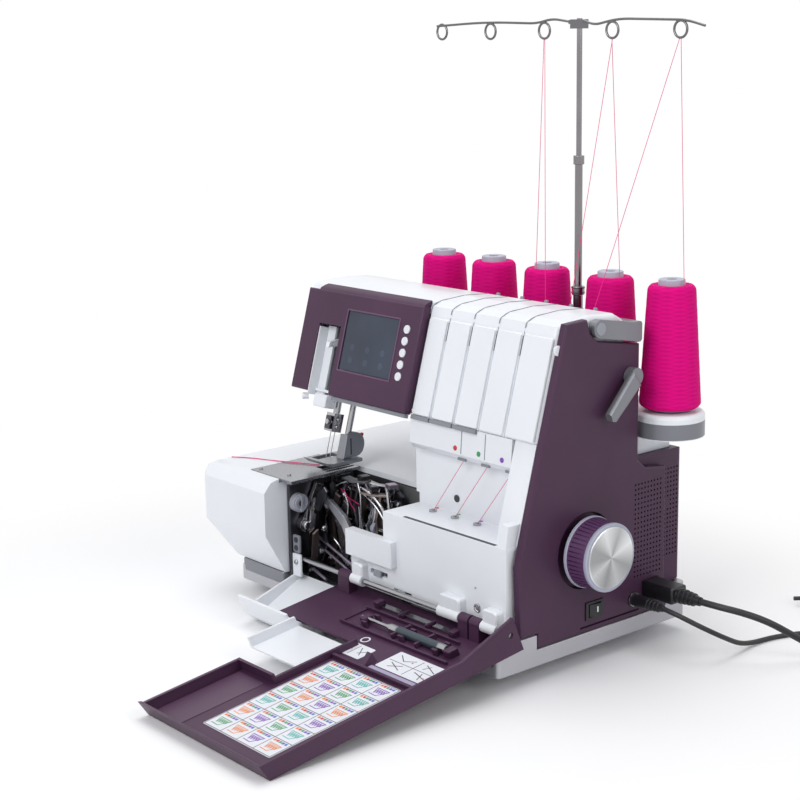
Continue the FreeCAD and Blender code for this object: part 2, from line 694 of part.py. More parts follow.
def threading_tubes():
    tubes = []
    for x, z, y in zip(PORTS, (78, 70, 62), (50, 50, 50)):
        points = [(x, y, 109.5), (x, y, z + 8), (x - 9, y, z), (-196, y, z), (-206, y + 3, z + 4)]
        tubes.append(solid(bent_tube(points, 1.6, "threading tube")))
    flange = [rod("z", (x, 50, "shelf_z + 0.2"), 3.6, 1.6) for x in PORTS]
    node("threading_tubes", fuse(*tubes, *flange))


def sliders():
    for label, (x, z) in SLIDERS.items():
        knob = box((x - 5, x + 5), (15.2, 17.7), (z - 2.9, z + 2.9))
        stem = box((x - 2.5, x + 2.5), (16, 23), (z - 1.9, z + 1.9))
        plate = box((x - 5, x + 5), (21.3, 23.3), (z - 4, z + 4))
        node(label, fuse(knob, stem, plate))


# Drive

def main_shaft():
    node("main_shaft", rod("x", (-175, "shaft_y", "shaft_z"), "shaft_radius", 177))


def shaft_bearings():
    rings = [cut(rod("x", (x, "shaft_y", "shaft_z"), 10.97, 6),
                 rod("x", (x - 5, "shaft_y", "shaft_z"), "shaft_radius + fit", 20)) for x in (-40, -166)]
    node("shaft_bearings", fuse(*rings))


def hand_wheel():
    ring = rod("x", (4, "shaft_y", "shaft_z"), "wheel_radius", 24, "wheel_radius - 2")
    hub = rod("x", (-26, "shaft_y", "shaft_z"), "hub_radius", 31)
    dish = rod("x", (26, "shaft_y", "shaft_z"), "wheel_radius - 3.6", 10)
    bore = rod("x", (-40, "shaft_y", "shaft_z"), "shaft_radius + fit", 43)
    wheel = fillet(fuse(ring, hub), 1.2, lambda edge: (edge.BoundBox.YLength > 56
                                                       and edge.BoundBox.XLength < 1))
    knurls = []
    for i in range(48):
        groove = Part.makeBox(15, 3, 1.1, V(8.5, DIMS["wheel_radius"] - 1.9, -0.55))
        groove.rotate(V(0, 0, 0), X_AXIS, 7.5 * i)
        groove.translate(V(0, DIMS["shaft_y"], DIMS["shaft_z"]))
        knurls.append(groove)
    node("hand_wheel", cut(wheel, dish, bore, solid(Part.makeCompound(knurls))))


def wheel_cap():
    disc = rod("x", (26.1, "shaft_y", "shaft_z"), "wheel_radius - 3.9", 3.6)
    node("wheel_cap", fillet(disc, 1, lambda edge: edge.BoundBox.XMin > 29))


def motor_pulley():
    wheel = rod("x", (-24.5, "motor_y", "motor_z"), "pulley_radius", 11)
    axle = rod("x", (-38, "motor_y", "motor_z"), 3, 20)
    node("motor_pulley", fuse(wheel, axle))


def drive_motor():
    can = rod("x", (-130, "motor_y", "motor_z"), 26, 89.5)
    neck = rod("x", (-136, "motor_y", "motor_z"), 10, 10)
    node("drive_motor", fillet(fuse(can, neck), 3, lambda edge: edge.BoundBox.YLength > 50 and
                               edge.BoundBox.XMax < -129))


def belt_loop(gap):
    """Closed loop round both pulleys, a gap outside them."""
    big = V(-23, DIMS["shaft_y"], DIMS["shaft_z"])
    small = V(-23, DIMS["motor_y"], DIMS["motor_z"])
    large, little = DIMS["hub_radius"] + gap, DIMS["pulley_radius"] + gap
    along = (small - big).normalize()
    across = X_AXIS.cross(along)
    lean_out = math.asin((large - little) / (small - big).Length)
    up = across * math.cos(lean_out) + along * math.sin(lean_out)
    down = across * -math.cos(lean_out) + along * math.sin(lean_out)
    edges = [Part.LineSegment(big + up * large, small + up * little).toShape(),
             Part.Arc(small + up * little, small + along * little, small + down * little).toShape(),
             Part.LineSegment(small + down * little, big + down * large).toShape(),
             Part.Arc(big + down * large, big - along * large, big + up * large).toShape()]
    return Part.Face(Part.Wire(edges))


def drive_belt():
    node("drive_belt", solid(belt_loop(2.3).cut(belt_loop(0.3)).extrude(V(8, 0, 0))))


# Handle and lifter

def carry_handle():
    bar = fillet(box((-353, 2), (160.5, 170.5), (264, 282)), 3, lambda edge: edge.Length > 300)
    arm = [("handle_y - 2", "handle_z - 7.6"), (162, 265), (168, 267), (168, 279), (162, 281.5),
           ("handle_y", "handle_z + 8")]
    parts = [bar]
    for left, right in ((-5, 2), (-353, -347.2)):
        parts.append(pad("x", arm, (left, right)))
        parts.append(rod("x", (left, "handle_y", "handle_z"), 8, right - left))
    bore = rod("x", (-400, "handle_y", "handle_z"), "4 + fit", 450)
    node("carry_handle", cut(fuse(*parts), bore))


def lifter_lever():
    hub = rod("x", (0.6, "lifter_y", "lifter_z"), 8, 8)
    shaft = rod("x", (-7.6, "lifter_y", "lifter_z"), 4, 10)
    arm = pad("x", [("lifter_y + 4", "lifter_z - 7"), ("lifter_y - 6", "lifter_z + 6"), (121, 209),
                    (124, 202), (130, 201)], (5, 12))
    arm = fillet(arm, 2.5, lambda edge: edge.BoundBox.XLength < 0.1 and edge.Length > 15)
    node("lifter_lever", fuse(hub, shaft, arm))


# Spool stand

SPOOLS = [f"mast_x - {k} * spool_pitch - 0.5 * spool_gap" for k in (2, 1, 0)]
SPOOLS += [f"mast_x + {k} * spool_pitch + 0.5 * spool_gap" for k in (0, 1)]


def spool_tray():
    lobes = [rod("z", (x, "stand_y", "tray_low"), "lobe_radius", "tray_high - tray_low") for x in SPOOLS]
    bar = box(("mast_x - 184", "mast_x + 112"), ("stand_y - 22", "stand_y + 22"), ("tray_low", "tray_high"))
    plate = fillet(fuse(*lobes, bar), 4, lambda edge: edge.BoundBox.ZMin > 197.9 and edge.Length > 20)
    pedestal = box((-165, -55), ("stand_y - 26", "stand_y + 26"), ("rear_top + 0.2", "tray_low + 5"))
    pins = [rod("z", (x, "stand_y", "tray_high - 1"), 4, 92) for x in SPOOLS]
    mast = rod("z", ("mast_x", "stand_y", 100), 4.6, 150)
    node("spool_tray", cut(fuse(plate, pedestal, *pins), mast))


def thread_cones():
    cones = []
    for x in SPOOLS:
        yarn = rod("z", (x, "stand_y", "cone_low"), 27.5, "cone_high - cone_low", 21)
        yarn = fillet(yarn, 3, lambda edge: edge.BoundBox.ZLength < 0.01)
        bore = rod("z", (x, "stand_y", "cone_low - 2"), 18.9, "cone_high - cone_low + 7", 11.9)
        cones.append(cut(yarn, bore))
    node("thread_cones", fuse(*cones))


def cone_cores():
    cores = []
    for x in SPOOLS:
        core = rod("z", (x, "stand_y", "cone_low - 2"), 18.6, "cone_high - cone_low + 7", 11.6)
        cores.append(cut(core, rod("z", (x, "stand_y", 150), 4.4, 200)))
    node("cone_cores", fuse(*cores))


def mast():
    at = ("mast_x", "stand_y")
    lower = fuse(rod("z", (*at, "rear_top - 10"), 4.5, 148), rod("z", (*at, 288), 6, 8))
    node("mast_tube", cut(lower, rod("z", (*at, 150), 3.6, 200)))
    middle = fuse(rod("z", (*at, 245), 3.5, 170), rod("z", (*at, 407), 5, 8))
    node("mast_middle", cut(middle, rod("z", (*at, 200), 2.6, 300)))
    node("mast_top", rod("z", (*at, 360), 2.5, "bar_z - 356"))


LOOPS = [-289, -221, -150, -67, 10]


def guide_bar():
    front = 204
    clip = box(("mast_x - 7", "mast_x + 7"), (203, 212), ("bar_z - 5", "bar_z + 3"))
    clip = cut(clip, rod("z", ("mast_x", "stand_y", 500), "2.5 + fit", 60))
    left = [(-118, front, 533), (-140, front, 536), (-160, front, 532), (-226, front, 534),
            (-296, front, 531)]
    right = [(-102, front, 534), (-88, front, 530), (-60, front, 535), (16, front, 533), (36, front, 528)]
    bars = [solid(bent_tube(points, 1.1, "guide wire")) for points in (left, right)]
    rings = []
    for x in LOOPS:
        ring = doc.addObject("Part::Torus", "loop")
        ring.Radius1 = 7
        ring.Radius2 = 1.1
        ring.Placement.Rotation = Turn(X_AXIS, 90)
        rings.append(place(ring, x, front, "bar_z - 6.5"))
    pin = box(("mast_x - 9", "mast_x + 9"), (203, 205.2), ("bar_z - 1", "bar_z + 2.6"))
    node("guide_bar", fuse(clip, pin, *bars, *rings))


# Door, drawn closed and swung open

KNUCKLES = [(-222, -206), (-57, -45), (-43, -31)]


def hinge_rod():
    node("hinge_rod", rod("x", (-291.5, "hinge_y", "hinge_z"), "rod_radius", 281))


def door_line(z, depth=0.0):
    """Y of the door's outer face at a height, or of a plane a depth inside it."""
    return -8 + 0.2619 * (z - 29.4) + depth * 1.0337


def door_panel(xs, zs, depth=(0.0, 3.0)):
    """Flat stretch of the door's wall between two heights."""
    low, high = zs
    return pad("x", [(door_line(low, depth[0]), low), (door_line(high, depth[0]), high),
                     (door_line(high, depth[1]), high), (door_line(low, depth[1]), low)], xs)


def front_door():
    top = 286.4
    main = door_panel(("door_step", "door_right"), (29.4, top))
    upper = door_panel(("door_left", "door_step + 1"), (192, top))
    lower = door_panel((-232, "door_step + 1"), (29.4, 108))
    clear = box((-7.5, 0.4), (-40, 60), (0, 59))
    right = pad("x", [(-8, 29.4), (25.1, 29.2), (24.5, 90.6), (75.7, 289.8), (door_line(top), top)],
                (0.5, "door_right"))
    left = pad("x", [(door_line(192), 192), (door_line(top), top), (door_line(top, 13), top + 1),
                     (door_line(192, 13), 192)], ("door_left", "door_left + wall"))
    far = pad("x", [(door_line(283), 283), (door_line(top), top), (75.7, 289.8), (73.5, 286.5)],
              ("door_left", "door_right"))
    step = pad("x", [(door_line(108), 108), (door_line(192), 192), (door_line(192, 9), 192),
                     (door_line(108, 9), 108)], ("door_step", "door_step + wall"))
    sill = door_panel(("door_left", "door_step + wall"), (192, 195), (0.0, 13.0))
    inner = door_panel(("door_step", 1), (133, 136), (0.0, 7.0))
    rib = pad("x", [(door_line(118, 2), 118), (door_line(134, 2), 134), (door_line(120, 12), 120)],
              (-84, -78))
    clips = []
    for x in (-141, -92, -48):
        clips.append(door_panel((x, x + 6), (66, 68.5), (2.0, 9.0)))
        clips.append(door_panel((x, x + 6), (80.5, 83), (2.0, 9.0)))
    for x in (-128, -62):
        clips.append(door_panel((x, x + 6), (50.5, 53), (2.0, 7.0)))
    arms = []
    for low, high in KNUCKLES:
        arms.append(rod("x", (low, "hinge_y", "hinge_z"), 5.2, high - low))
        arms.append(pad("x", [(13.9, 41.6), (10.1, 32.4), (-5.1, 38.6), (-1.4, 47.8)], (low, high)))
    shell = cut(fuse(main, upper, lower), clear)
    whole = fuse(shell, right, left, far, step, sill, inner, rib, *clips, *arms)
    bore = rod("x", (-300, "hinge_y", "hinge_z"), "rod_radius + 0.06", 320)
    node("front_door", cut(whole, bore), swing=True)


def looper_cover():
    front = [(-10, 39), (-14, 99), (-10, 107), (-2, 111)]
    shell = front + [(18, 111), (18, 108.5), (-1, 108.5), (-7.5, 105.5), (-11.3, 98.5), (-7.5, 39)]
    tray = pad("x", shell, (-291.4, -216))
    side = pad("x", front + [(2, 111), (2, 90), (-2, 39)], (-291.4, -289))
    cheek = pad("x", front + [(16, 111), (4, 80), (-2, 39)], (-218.5, -216))
    flap = door_panel((-200, "door_step - 0.4"), (112, 162), (-3.0, -0.6))
    lip = door_panel((-200, -197.5), (112, 162), (-3.0, 9.0))
    strap = pad("x", [(door_line(112, -3), 112), (door_line(112, 5), 112), (-8, 92), (-12, 92)],
                (-219, -197.5))
    behind = door_panel((-232, "door_step + 1"), (29.4, 108), (0.0, 30.0))
    node("looper_cover", cut(fuse(tray, side, cheek, flap, lip, strap), behind), swing=True)


def door_tools():
    middle = 74.5
    y = door_line(middle, 7.2)
    handle = rod("x", (-110, y, middle), 3.9, 72)
    shank = rod("x", (-149.4, y, middle), 1.6, 43.4)
    low = 47.5
    prongs = door_panel((-161, -58), (low - 3, low + 3), (3.4, 6.0))
    node("door_tools", fuse(handle, shank, prongs), swing=True)


# Leads: a plug, a free stretch on the floor and the rest put away in a coil

MAINS_COIL = Coil(V(205, 297, -DIMS["feet_height"]), DIMS["mains_radius"], 36, 3, 145, -1, 22)
FOOT_COIL = Coil(V(92, 378, -DIMS["feet_height"]), DIMS["foot_lead_radius"], 27, 4, -36.87, 1, 6)
MAINS_ROUTE = [(58, 188, 38.5), (76, 189, 38.4), (94, 200, 35), (108, 218, 26), (118, 238, 12),
               (127, 258, -2), (136, 278, -9.6)]
FOOT_ROUTE = [(36, 165.5, 31.6), (51, 166.5, 29.5), (64, 174, 23), (72, 188, 14), (74, 206, 4),
              (72, 226, -6), (70, 248, -11.2), (72, 271, -11.75), (80, 293, -11.75), (92, 314, -11.75)]


def lead(label, points, coil, radius):
    """Free stretch that ends where the coil's tube begins, then the coil."""
    first, _ = coil.ends()
    approach = first - coil.level(0) * 21
    stretch = [*points, (approach.x, approach.y, approach.z), (first.x, first.y, first.z)]
    print(f"{label} route: {[tuple(round(c, 1) for c in point) for point in stretch]}")
    node(f"{label}_cord", solid(bent_tube(stretch, radius, f"{label} cord")))
    chain = coil.edges()
    coil.report(chain, f"{label} coil")
    node(f"{label}_coil", solid(tube(chain, radius, f"{label} coil")))


def turned(obj, coil):
    """Move a plug drawn along X from the origin onto the coil's far end."""
    _, final = coil.ends()
    heading = coil.level(2 * coil.turns + 0.5)
    shape = obj.Shape.copy()
    shape.rotate(V(0, 0, 0), Z_AXIS, math.degrees(math.atan2(heading.y, heading.x)))
    shape.translate(final)
    return solid(shape)


def mains_plugs():
    body = fillet(box((1.2, 34), ("mains_y - 10", "mains_y + 10"), ("mains_z - 7.5", "mains_z + 7.5")), 2,
                  lambda edge: edge.Length > 30 or edge.BoundBox.XMin > 33)
    front = box((-10, 2), ("mains_y - 8", "mains_y + 8"), ("mains_z - 5.6", "mains_z + 5.6"))
    neck = rod("x", (33, "mains_y", "mains_z"), 6.5, 25, "mains_radius + 1")
    collar = rod("x", (0, 0, 0), 5.2, 18, 6.5)
    shell = fillet(box((16, 52), (-17, 17), (-9.2, 9.2)), 4, lambda edge: edge.Length > 30)
    pins = [rod("x", (51, side, 0), 2.4, 19) for side in (-9.5, 9.5)]
    wall_plug = fuse(collar, shell, *pins)
    doc.recompute()
    node("mains_plugs", fuse(body, front, neck, turned(wall_plug, MAINS_COIL)))


def foot_plugs():
    body = rod("x", (1.4, "pedal_y", "pedal_z"), 5.4, 18)
    pin = rod("x", (-8, "pedal_y", "pedal_z"), 3.2, 12)
    neck = rod("x", (19, "pedal_y", "pedal_z"), 4.6, 17, "foot_lead_radius + 0.6")
    stub = rod("x", (0, 0, 0), 3.4, 12, 5)
    shell = rod("x", (11, 0, 0), 5.8, 26)
    tip = rod("x", (36, 0, 0), 2, 10)
    connector = fuse(stub, shell, tip)
    doc.recompute()
    node("foot_plugs", fuse(body, pin, neck, turned(connector, FOOT_COIL)))


for build in (base_tray, feet, inner_frame, right_cover, rear_cover, front_panel, head_shell,
              tower_cover, head_fascia, touch_screen, buttons, circuit_board, bed_cover, stitch_plate,
              side_sockets, rocker, needle_bar, needle_clamp, presser_bar, presser_foot, take_up_lever,
              looper_bracket, loopers, upper_knife, width_dial, feed_dogs, threading_tubes, sliders,
              main_shaft, shaft_bearings, hand_wheel, wheel_cap, motor_pulley, drive_motor, drive_belt,
              carry_handle, lifter_lever, spool_tray, thread_cones, cone_cores, mast, guide_bar, hinge_rod,
              front_door, looper_cover, door_tools, mains_plugs, foot_plugs):
    build()
lead("mains", MAINS_ROUTE, MAINS_COIL, DIMS["mains_radius"])
lead("foot", FOOT_ROUTE, FOOT_COIL, DIMS["foot_lead_radius"])
doc.recompute()

# Check and export

for obj in doc.Objects:
    if "Invalid" in obj.State or "Error" in obj.State:
        raise RuntimeError(f"{obj.Label} did not compute: {obj.State}")

LEADS = ("mains_plugs", "mains_cord", "mains_coil", "foot_plugs", "foot_cord", "foot_coil")
whole = FreeCAD.BoundBox()
for obj in NODES:
    shape = obj.Shape
    if shape.isNull() or not shape.isValid() or not shape.Solids:
        raise RuntimeError(f"{obj.Label} has no valid solid")
    shape.exportStep(f"parts/{obj.Label}.step")
    if obj.Label not in LEADS:
        whole.add(shape.optimalBoundingBox(False, False))
print(f"{len(NODES)} sub-parts")
print(f"box without leads: X {whole.XMin:.2f} {whole.XMax:.2f}, Y {whole.YMin:.2f} {whole.YMax:.2f}, "
      f"Z {whole.ZMin:.2f} {whole.ZMax:.2f}")
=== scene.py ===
# %% [markdown]
# # Overlock sewing machine
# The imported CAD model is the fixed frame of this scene. Every piece below is dressed in that
# frame, in metres: X to the operator's right, Y to the back, Z up from the table.

# %% Load the frame
import bpy
import bmesh
import json
import math
import numpy as np
from mathutils import Matrix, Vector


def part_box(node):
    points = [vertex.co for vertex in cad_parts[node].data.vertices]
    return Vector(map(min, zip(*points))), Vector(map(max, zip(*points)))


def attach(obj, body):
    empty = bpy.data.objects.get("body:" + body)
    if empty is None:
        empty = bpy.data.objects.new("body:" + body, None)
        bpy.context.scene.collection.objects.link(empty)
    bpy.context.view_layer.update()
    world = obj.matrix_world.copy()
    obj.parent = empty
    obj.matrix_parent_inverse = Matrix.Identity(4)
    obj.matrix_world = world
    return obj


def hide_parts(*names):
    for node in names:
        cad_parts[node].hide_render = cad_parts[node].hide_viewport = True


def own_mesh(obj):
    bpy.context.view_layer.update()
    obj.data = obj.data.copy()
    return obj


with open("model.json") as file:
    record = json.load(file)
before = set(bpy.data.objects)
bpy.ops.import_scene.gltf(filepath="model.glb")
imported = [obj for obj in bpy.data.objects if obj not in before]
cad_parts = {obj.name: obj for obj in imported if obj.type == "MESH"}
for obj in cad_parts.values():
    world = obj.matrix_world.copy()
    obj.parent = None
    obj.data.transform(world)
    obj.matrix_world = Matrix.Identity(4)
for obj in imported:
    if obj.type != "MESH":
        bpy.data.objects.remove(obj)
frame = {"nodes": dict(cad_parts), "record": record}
scene = bpy.context.scene
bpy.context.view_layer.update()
bodies = frame["record"]["behaviour"]["bodies"]
body_of_node = {node: body for body, nodes in bodies.items() for node in nodes}
slot_of_node = {part["node"]: part["material_slot"] for part in frame["record"]["subparts"]}

# %% [markdown]
# The machine was measured from the lower front right corner of its base, in millimetres. That
# corner is read from the base tray, so a point measured on the machine lands where the CAD has it.
# The front leans back and the door lies open, so each has a function of its own for its points.

# %% Places on the machine
MM = 0.001
base_low, base_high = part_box("base_tray")
CORNER = np.array([base_high.x, base_low.y, base_low.z])
LEAN = math.radians(15.8)
LEAN_ORIGIN = np.array([0.0, 52.4, 191.0])
HINGE = np.array([0.0, 12.0, 37.0])
DOOR_OPEN = math.radians(112.2)
DOOR_FOOT_Y, DOOR_FOOT_Z = -8, 29.4
DOOR_SLOPE, DOOR_DEPTH = 0.2619, 1.0337
RIGHTWARD, LEFTWARD, FORWARD, UPWARD = (1, 0, 0), (-1, 0, 0), (0, -1, 0), (0, 0, 1)


def spot(points):
    """Machine millimetres to metres in the frame."""
    return np.asarray(points, float) * MM + CORNER


def on_front(x, inward, along):
    """Point on the leaning front: depth behind it, and distance up it."""
    x, inward, along = np.broadcast_arrays(np.asarray(x, float), inward, along)
    y = LEAN_ORIGIN[1] + inward * math.cos(LEAN) + along * math.sin(LEAN)
    z = LEAN_ORIGIN[2] - inward * math.sin(LEAN) + along * math.cos(LEAN)
    return np.stack([x, y, z], -1)


def door_swung(points):
    """Closed-door millimetres turned about the hinge to where the open door lies."""
    x, y, z = np.moveaxis(np.asarray(points, float) - HINGE, -1, 0)
    c, s = math.cos(DOOR_OPEN), math.sin(DOOR_OPEN)
    return np.stack([x, c * y - s * z, s * y + c * z], -1) + HINGE


def on_door(x, depth, up):
    """Point on the open door: depth inside its outer face, and height when closed."""
    x, depth, up = np.broadcast_arrays(np.asarray(x, float), depth, up)
    y = DOOR_FOOT_Y + DOOR_SLOPE * (up - DOOR_FOOT_Z) + depth * DOOR_DEPTH
    return door_swung(np.stack([x, y, up], -1))


print("machine corner", CORNER.round(4).tolist())

# %% [markdown]
# The camera stands where the photograph's straight edges meet at their vanishing points: turned
# about fifty degrees to the machine's right front, a little above, with a long lens. Its matrix
# is written from its own axes, which leaves no doubt about the order of turns.

# %% Camera
AZIMUTH, PITCH, ROLL = math.radians(49.87), math.radians(12.51), math.radians(-1.0)
FOCAL_PIXELS, IMAGE_PIXELS, SENSOR_MM = 1686.0, 800.0, 36.0
EYE = spot((956.4, -907.3, 532.0))


def stood(x_axis, y_axis, z_axis, place):
    """World matrix from three axes and a place."""
    pose = np.eye(4)
    pose[:3] = np.stack([x_axis, y_axis, z_axis, place], -1)
    return Matrix(pose.tolist())


ahead = np.array([-math.sin(AZIMUTH) * math.cos(PITCH), math.cos(AZIMUTH) * math.cos(PITCH),
                  -math.sin(PITCH)])
level = np.array([math.cos(AZIMUTH), math.sin(AZIMUTH), 0.0])
upright = np.cross(level, ahead)
image_x = level * math.cos(ROLL) + upright * math.sin(ROLL)
image_y = -level * math.sin(ROLL) + upright * math.cos(ROLL)
camera = bpy.data.cameras.new("camera")
camera.sensor_fit = "HORIZONTAL"
camera.sensor_width = SENSOR_MM
camera.lens = FOCAL_PIXELS / IMAGE_PIXELS * SENSOR_MM
camera_object = bpy.data.objects.new("camera", camera)
camera_object.matrix_world = stood(image_x, image_y, -ahead, EYE)
scene.collection.objects.link(camera_object)
scene.camera = camera_object
print("lens", round(camera.lens, 2), "mm")

# %% [markdown]
# Every finish below is a small graph of shader nodes. Three helpers keep the graphs readable:
# one feeds a node's inputs with links or plain values, one adds a node that way, and one adds
# a step of arithmetic and gives back its result.

# %% Shader nodes
def feed(tree, node, inputs):
    """Link each input to a socket, or give it a value."""
    for key, value in inputs.items():
        if isinstance(value, bpy.types.NodeSocket):
            tree.links.new(value, node.inputs[key])
        else:
            node.inputs[key].default_value = value
    return node


def add_node(tree, kind, inputs=None, **settings):
    """New shader node with its settings and its inputs."""
    node = tree.nodes.new(f"ShaderNode{kind}")
    for key, value in settings.items():
        setattr(node, key, value)
    return feed(tree, node, inputs or {})


def reckon(tree, operation, *values):
    """Result of a math node on sockets or numbers."""
    return add_node(tree, "Math", dict(enumerate(values)), operation=operation).outputs[0]


print("node helpers ready:", feed.__name__, add_node.__name__, reckon.__name__)

# %% [markdown]
# A product picture has a white sweep and large soft lamps. The world is white to the camera and
# to reflections, and gives a quieter even light to the object itself. Three square lamps stand
# in front, at the right and above, as in a small studio.

# %% Light
LAMPS = [("key", (0.3, -1.7, 1.5), 1.2, 22), ("side", (2.0, 0.3, 1.1), 1.1, 10),
         ("top", (-0.3, 0.3, 2.2), 1.6, 20)]
LAMP_TARGET = np.array([0, 0, 0.2])
AMBIENT = {"Color": (0.95, 0.97, 1.0, 1), "Strength": 0.42}

scene.view_settings.view_transform = "Standard"
world = bpy.data.worlds.new("studio")
scene.world = world
world.use_nodes = True
sky = world.node_tree
sky.nodes.clear()
rays = add_node(sky, "LightPath").outputs
seen = reckon(sky, "MAXIMUM", rays["Is Camera Ray"], rays["Is Glossy Ray"])
seen = reckon(sky, "MAXIMUM", seen, rays["Is Transmission Ray"])
ambient = add_node(sky, "Background", AMBIENT).outputs[0]
sweep = add_node(sky, "Background", {"Color": (1, 1, 1, 1)}).outputs[0]
choose = add_node(sky, "MixShader", {"Fac": seen, 1: ambient, 2: sweep}).outputs[0]
add_node(sky, "OutputWorld", {"Surface": choose})


def softbox(name, place, size, power):
    """Square area lamp that faces the machine."""
    lamp = bpy.data.lights.new(name, "AREA")
    lamp.size, lamp.energy = size, power
    lamp_object = bpy.data.objects.new(name, lamp)
    away = np.array(place, float) - LAMP_TARGET
    away /= np.linalg.norm(away)
    side = np.cross(UPWARD, away)
    side /= np.linalg.norm(side)
    lamp_object.matrix_world = stood(side, np.cross(away, side), away, place)
    scene.collection.objects.link(lamp_object)


for lamp_values in LAMPS:
    softbox(*lamp_values)
print("lamps", len(LAMPS))

# %% [markdown]
# Moulded plastic is never one flat colour: it has a fine spark-eroded grain that breaks up the
# gloss, and slow changes of tone. One function mixes both from noise on Object coordinates, so
# every finish below starts from the same idea with its own colour, gloss and grain. A finish
# also knows which material slot of the part it belongs to; most are a slot of their own.

# %% Finishes
MATERIALS, SLOTS = {}, {}
SLOW_SCALE, TONE_FROM, TONE_TO = 14.0, 0.3, 0.7
GLOSS_SPREAD, GLOSS_LEAST, GRAIN_DEPTH = 0.06, 0.02, 0.0004


def finish(name, color, rough=0.4, metallic=0.0, vary=0.06, grain=1400.0, relief=0.03, shine=0.5,
           slot=None):
    """Principled surface with slow tone changes, uneven gloss and a fine grain."""
    material = bpy.data.materials.new(name)
    material.use_nodes = True
    tree = material.node_tree
    where = add_node(tree, "TexCoord").outputs["Object"]
    slow = add_node(tree, "TexNoise", {"Vector": where, "Scale": SLOW_SCALE}).outputs["Fac"]
    fine = add_node(tree, "TexNoise", {"Vector": where, "Scale": grain}).outputs["Fac"]
    tone = add_node(tree, "ValToRGB", {"Fac": slow})
    low, high = tone.color_ramp.elements
    low.position, high.position = TONE_FROM, TONE_TO
    low.color = (*[c * (1 - vary) for c in color], 1)
    high.color = (*[min(c * (1 + vary), 1.0) for c in color], 1)
    gloss = add_node(tree, "MapRange", {"Value": fine, "To Max": rough + GLOSS_SPREAD,
                                        "To Min": max(rough - GLOSS_SPREAD, GLOSS_LEAST)})
    bump = add_node(tree, "Bump", {"Strength": relief, "Distance": GRAIN_DEPTH, "Height": fine})
    feed(tree, tree.nodes["Principled BSDF"], {
        "Base Color": tone.outputs["Color"], "Roughness": gloss.outputs["Result"],
        "Normal": bump.outputs["Normal"], "Metallic": metallic, "Specular IOR Level": shine})
    MATERIALS[name], SLOTS[name] = material, slot or name
    return material


finish("plum_plastic", (0.058, 0.022, 0.054), rough=0.42, vary=0.10, relief=0.06, shine=0.3)
finish("white_plastic", (0.78, 0.80, 0.84), rough=0.32, vary=0.015, relief=0.02)
finish("grey_plastic", (0.30, 0.31, 0.35), rough=0.4)
finish("black_plastic", (0.012, 0.012, 0.015), rough=0.38, vary=0.15, relief=0.06)
finish("silver_paint", (0.22, 0.225, 0.25), rough=0.34, metallic=0.5, grain=2600, vary=0.05)
finish("base_silver", (0.46, 0.455, 0.49), rough=0.36, metallic=0.5, grain=2600, vary=0.05)
finish("foot_rubber", (0.02, 0.02, 0.02), rough=0.8)
finish("frame_casting", (0.42, 0.43, 0.45), rough=0.55, metallic=0.9, grain=900, relief=0.15)
finish("steel", (0.40, 0.40, 0.42), rough=0.2, metallic=1.0, vary=0.12, grain=600)
finish("dark_steel", (0.10, 0.10, 0.115), rough=0.3, metallic=0.95, vary=0.2)
finish("chrome_wire", (0.17, 0.165, 0.175), rough=0.18, metallic=1.0, vary=0.1)
finish("cap_metal", (0.80, 0.81, 0.83), rough=0.28, metallic=1.0, vary=0.02)
finish("mast_steel", (0.25, 0.24, 0.25), rough=0.18, metallic=1.0, vary=0.2, grain=400)
finish("plate_steel", (0.30, 0.31, 0.335), rough=0.28, metallic=0.9, vary=0.06, grain=800)
finish("thread_pink", (0.70, 0.008, 0.17), rough=0.6, vary=0.12, grain=2200, relief=0.2)
finish("core_grey", (0.42, 0.43, 0.52), rough=0.45, vary=0.04)
finish("screen_glass", (0.032, 0.042, 0.066), rough=0.16, vary=0.25, relief=0.0, shine=0.35)
finish("black_cord", (0.012, 0.012, 0.014), rough=0.5, vary=0.15, relief=0.06)
finish("board_green", (0.03, 0.16, 0.07), rough=0.4)
finish("motor_steel", (0.10, 0.10, 0.11), rough=0.4, metallic=0.5)
finish("plum_grip", (0.085, 0.030, 0.098), rough=0.5, vary=0.06)
print("finishes", len(MATERIALS))

# %% [markdown]
# The small pieces have shades of their own: printed inks, pale rims, bronze and lilac metal.
# Two are painted shade instead: a darkened plum for the groove between the covers, and a near-black
# for the depths of the looper chamber.
# Each is a finish like the ones above that shares the slot of a plain one.

# %% Shades of small pieces
# The cover's plum darkened as in shade: painted shade for the groove between the covers.
finish("groove_painted_shade", (0.012, 0.004, 0.012), rough=0.7, shine=0.05, slot="grey_plastic")
finish("rim_pale", (0.38, 0.39, 0.48), rough=0.35, vary=0.03, slot="grey_plastic")
finish("strip_grey", (0.22, 0.23, 0.26), rough=0.4, slot="grey_plastic")
finish("foot_grey", (0.27, 0.28, 0.31), rough=0.3, metallic=0.6, vary=0.05, slot="grey_plastic")
finish("cast_grey", (0.13, 0.13, 0.135), rough=0.5, metallic=0.3, vary=0.12, relief=0.1,
       slot="grey_plastic")
finish("label_white", (0.74, 0.75, 0.80), rough=0.5, vary=0.01, slot="white_plastic")
finish("label_lilac", (0.36, 0.33, 0.47), rough=0.5, vary=0.03, slot="white_plastic")
finish("plum_rim", (0.105, 0.045, 0.10), rough=0.35, vary=0.08, slot="plum_plastic")
finish("plum_field", (0.075, 0.034, 0.072), rough=0.45, vary=0.08, slot="plum_plastic")
finish("slate_plastic", (0.035, 0.05, 0.065), rough=0.35, vary=0.1, slot="black_plastic")
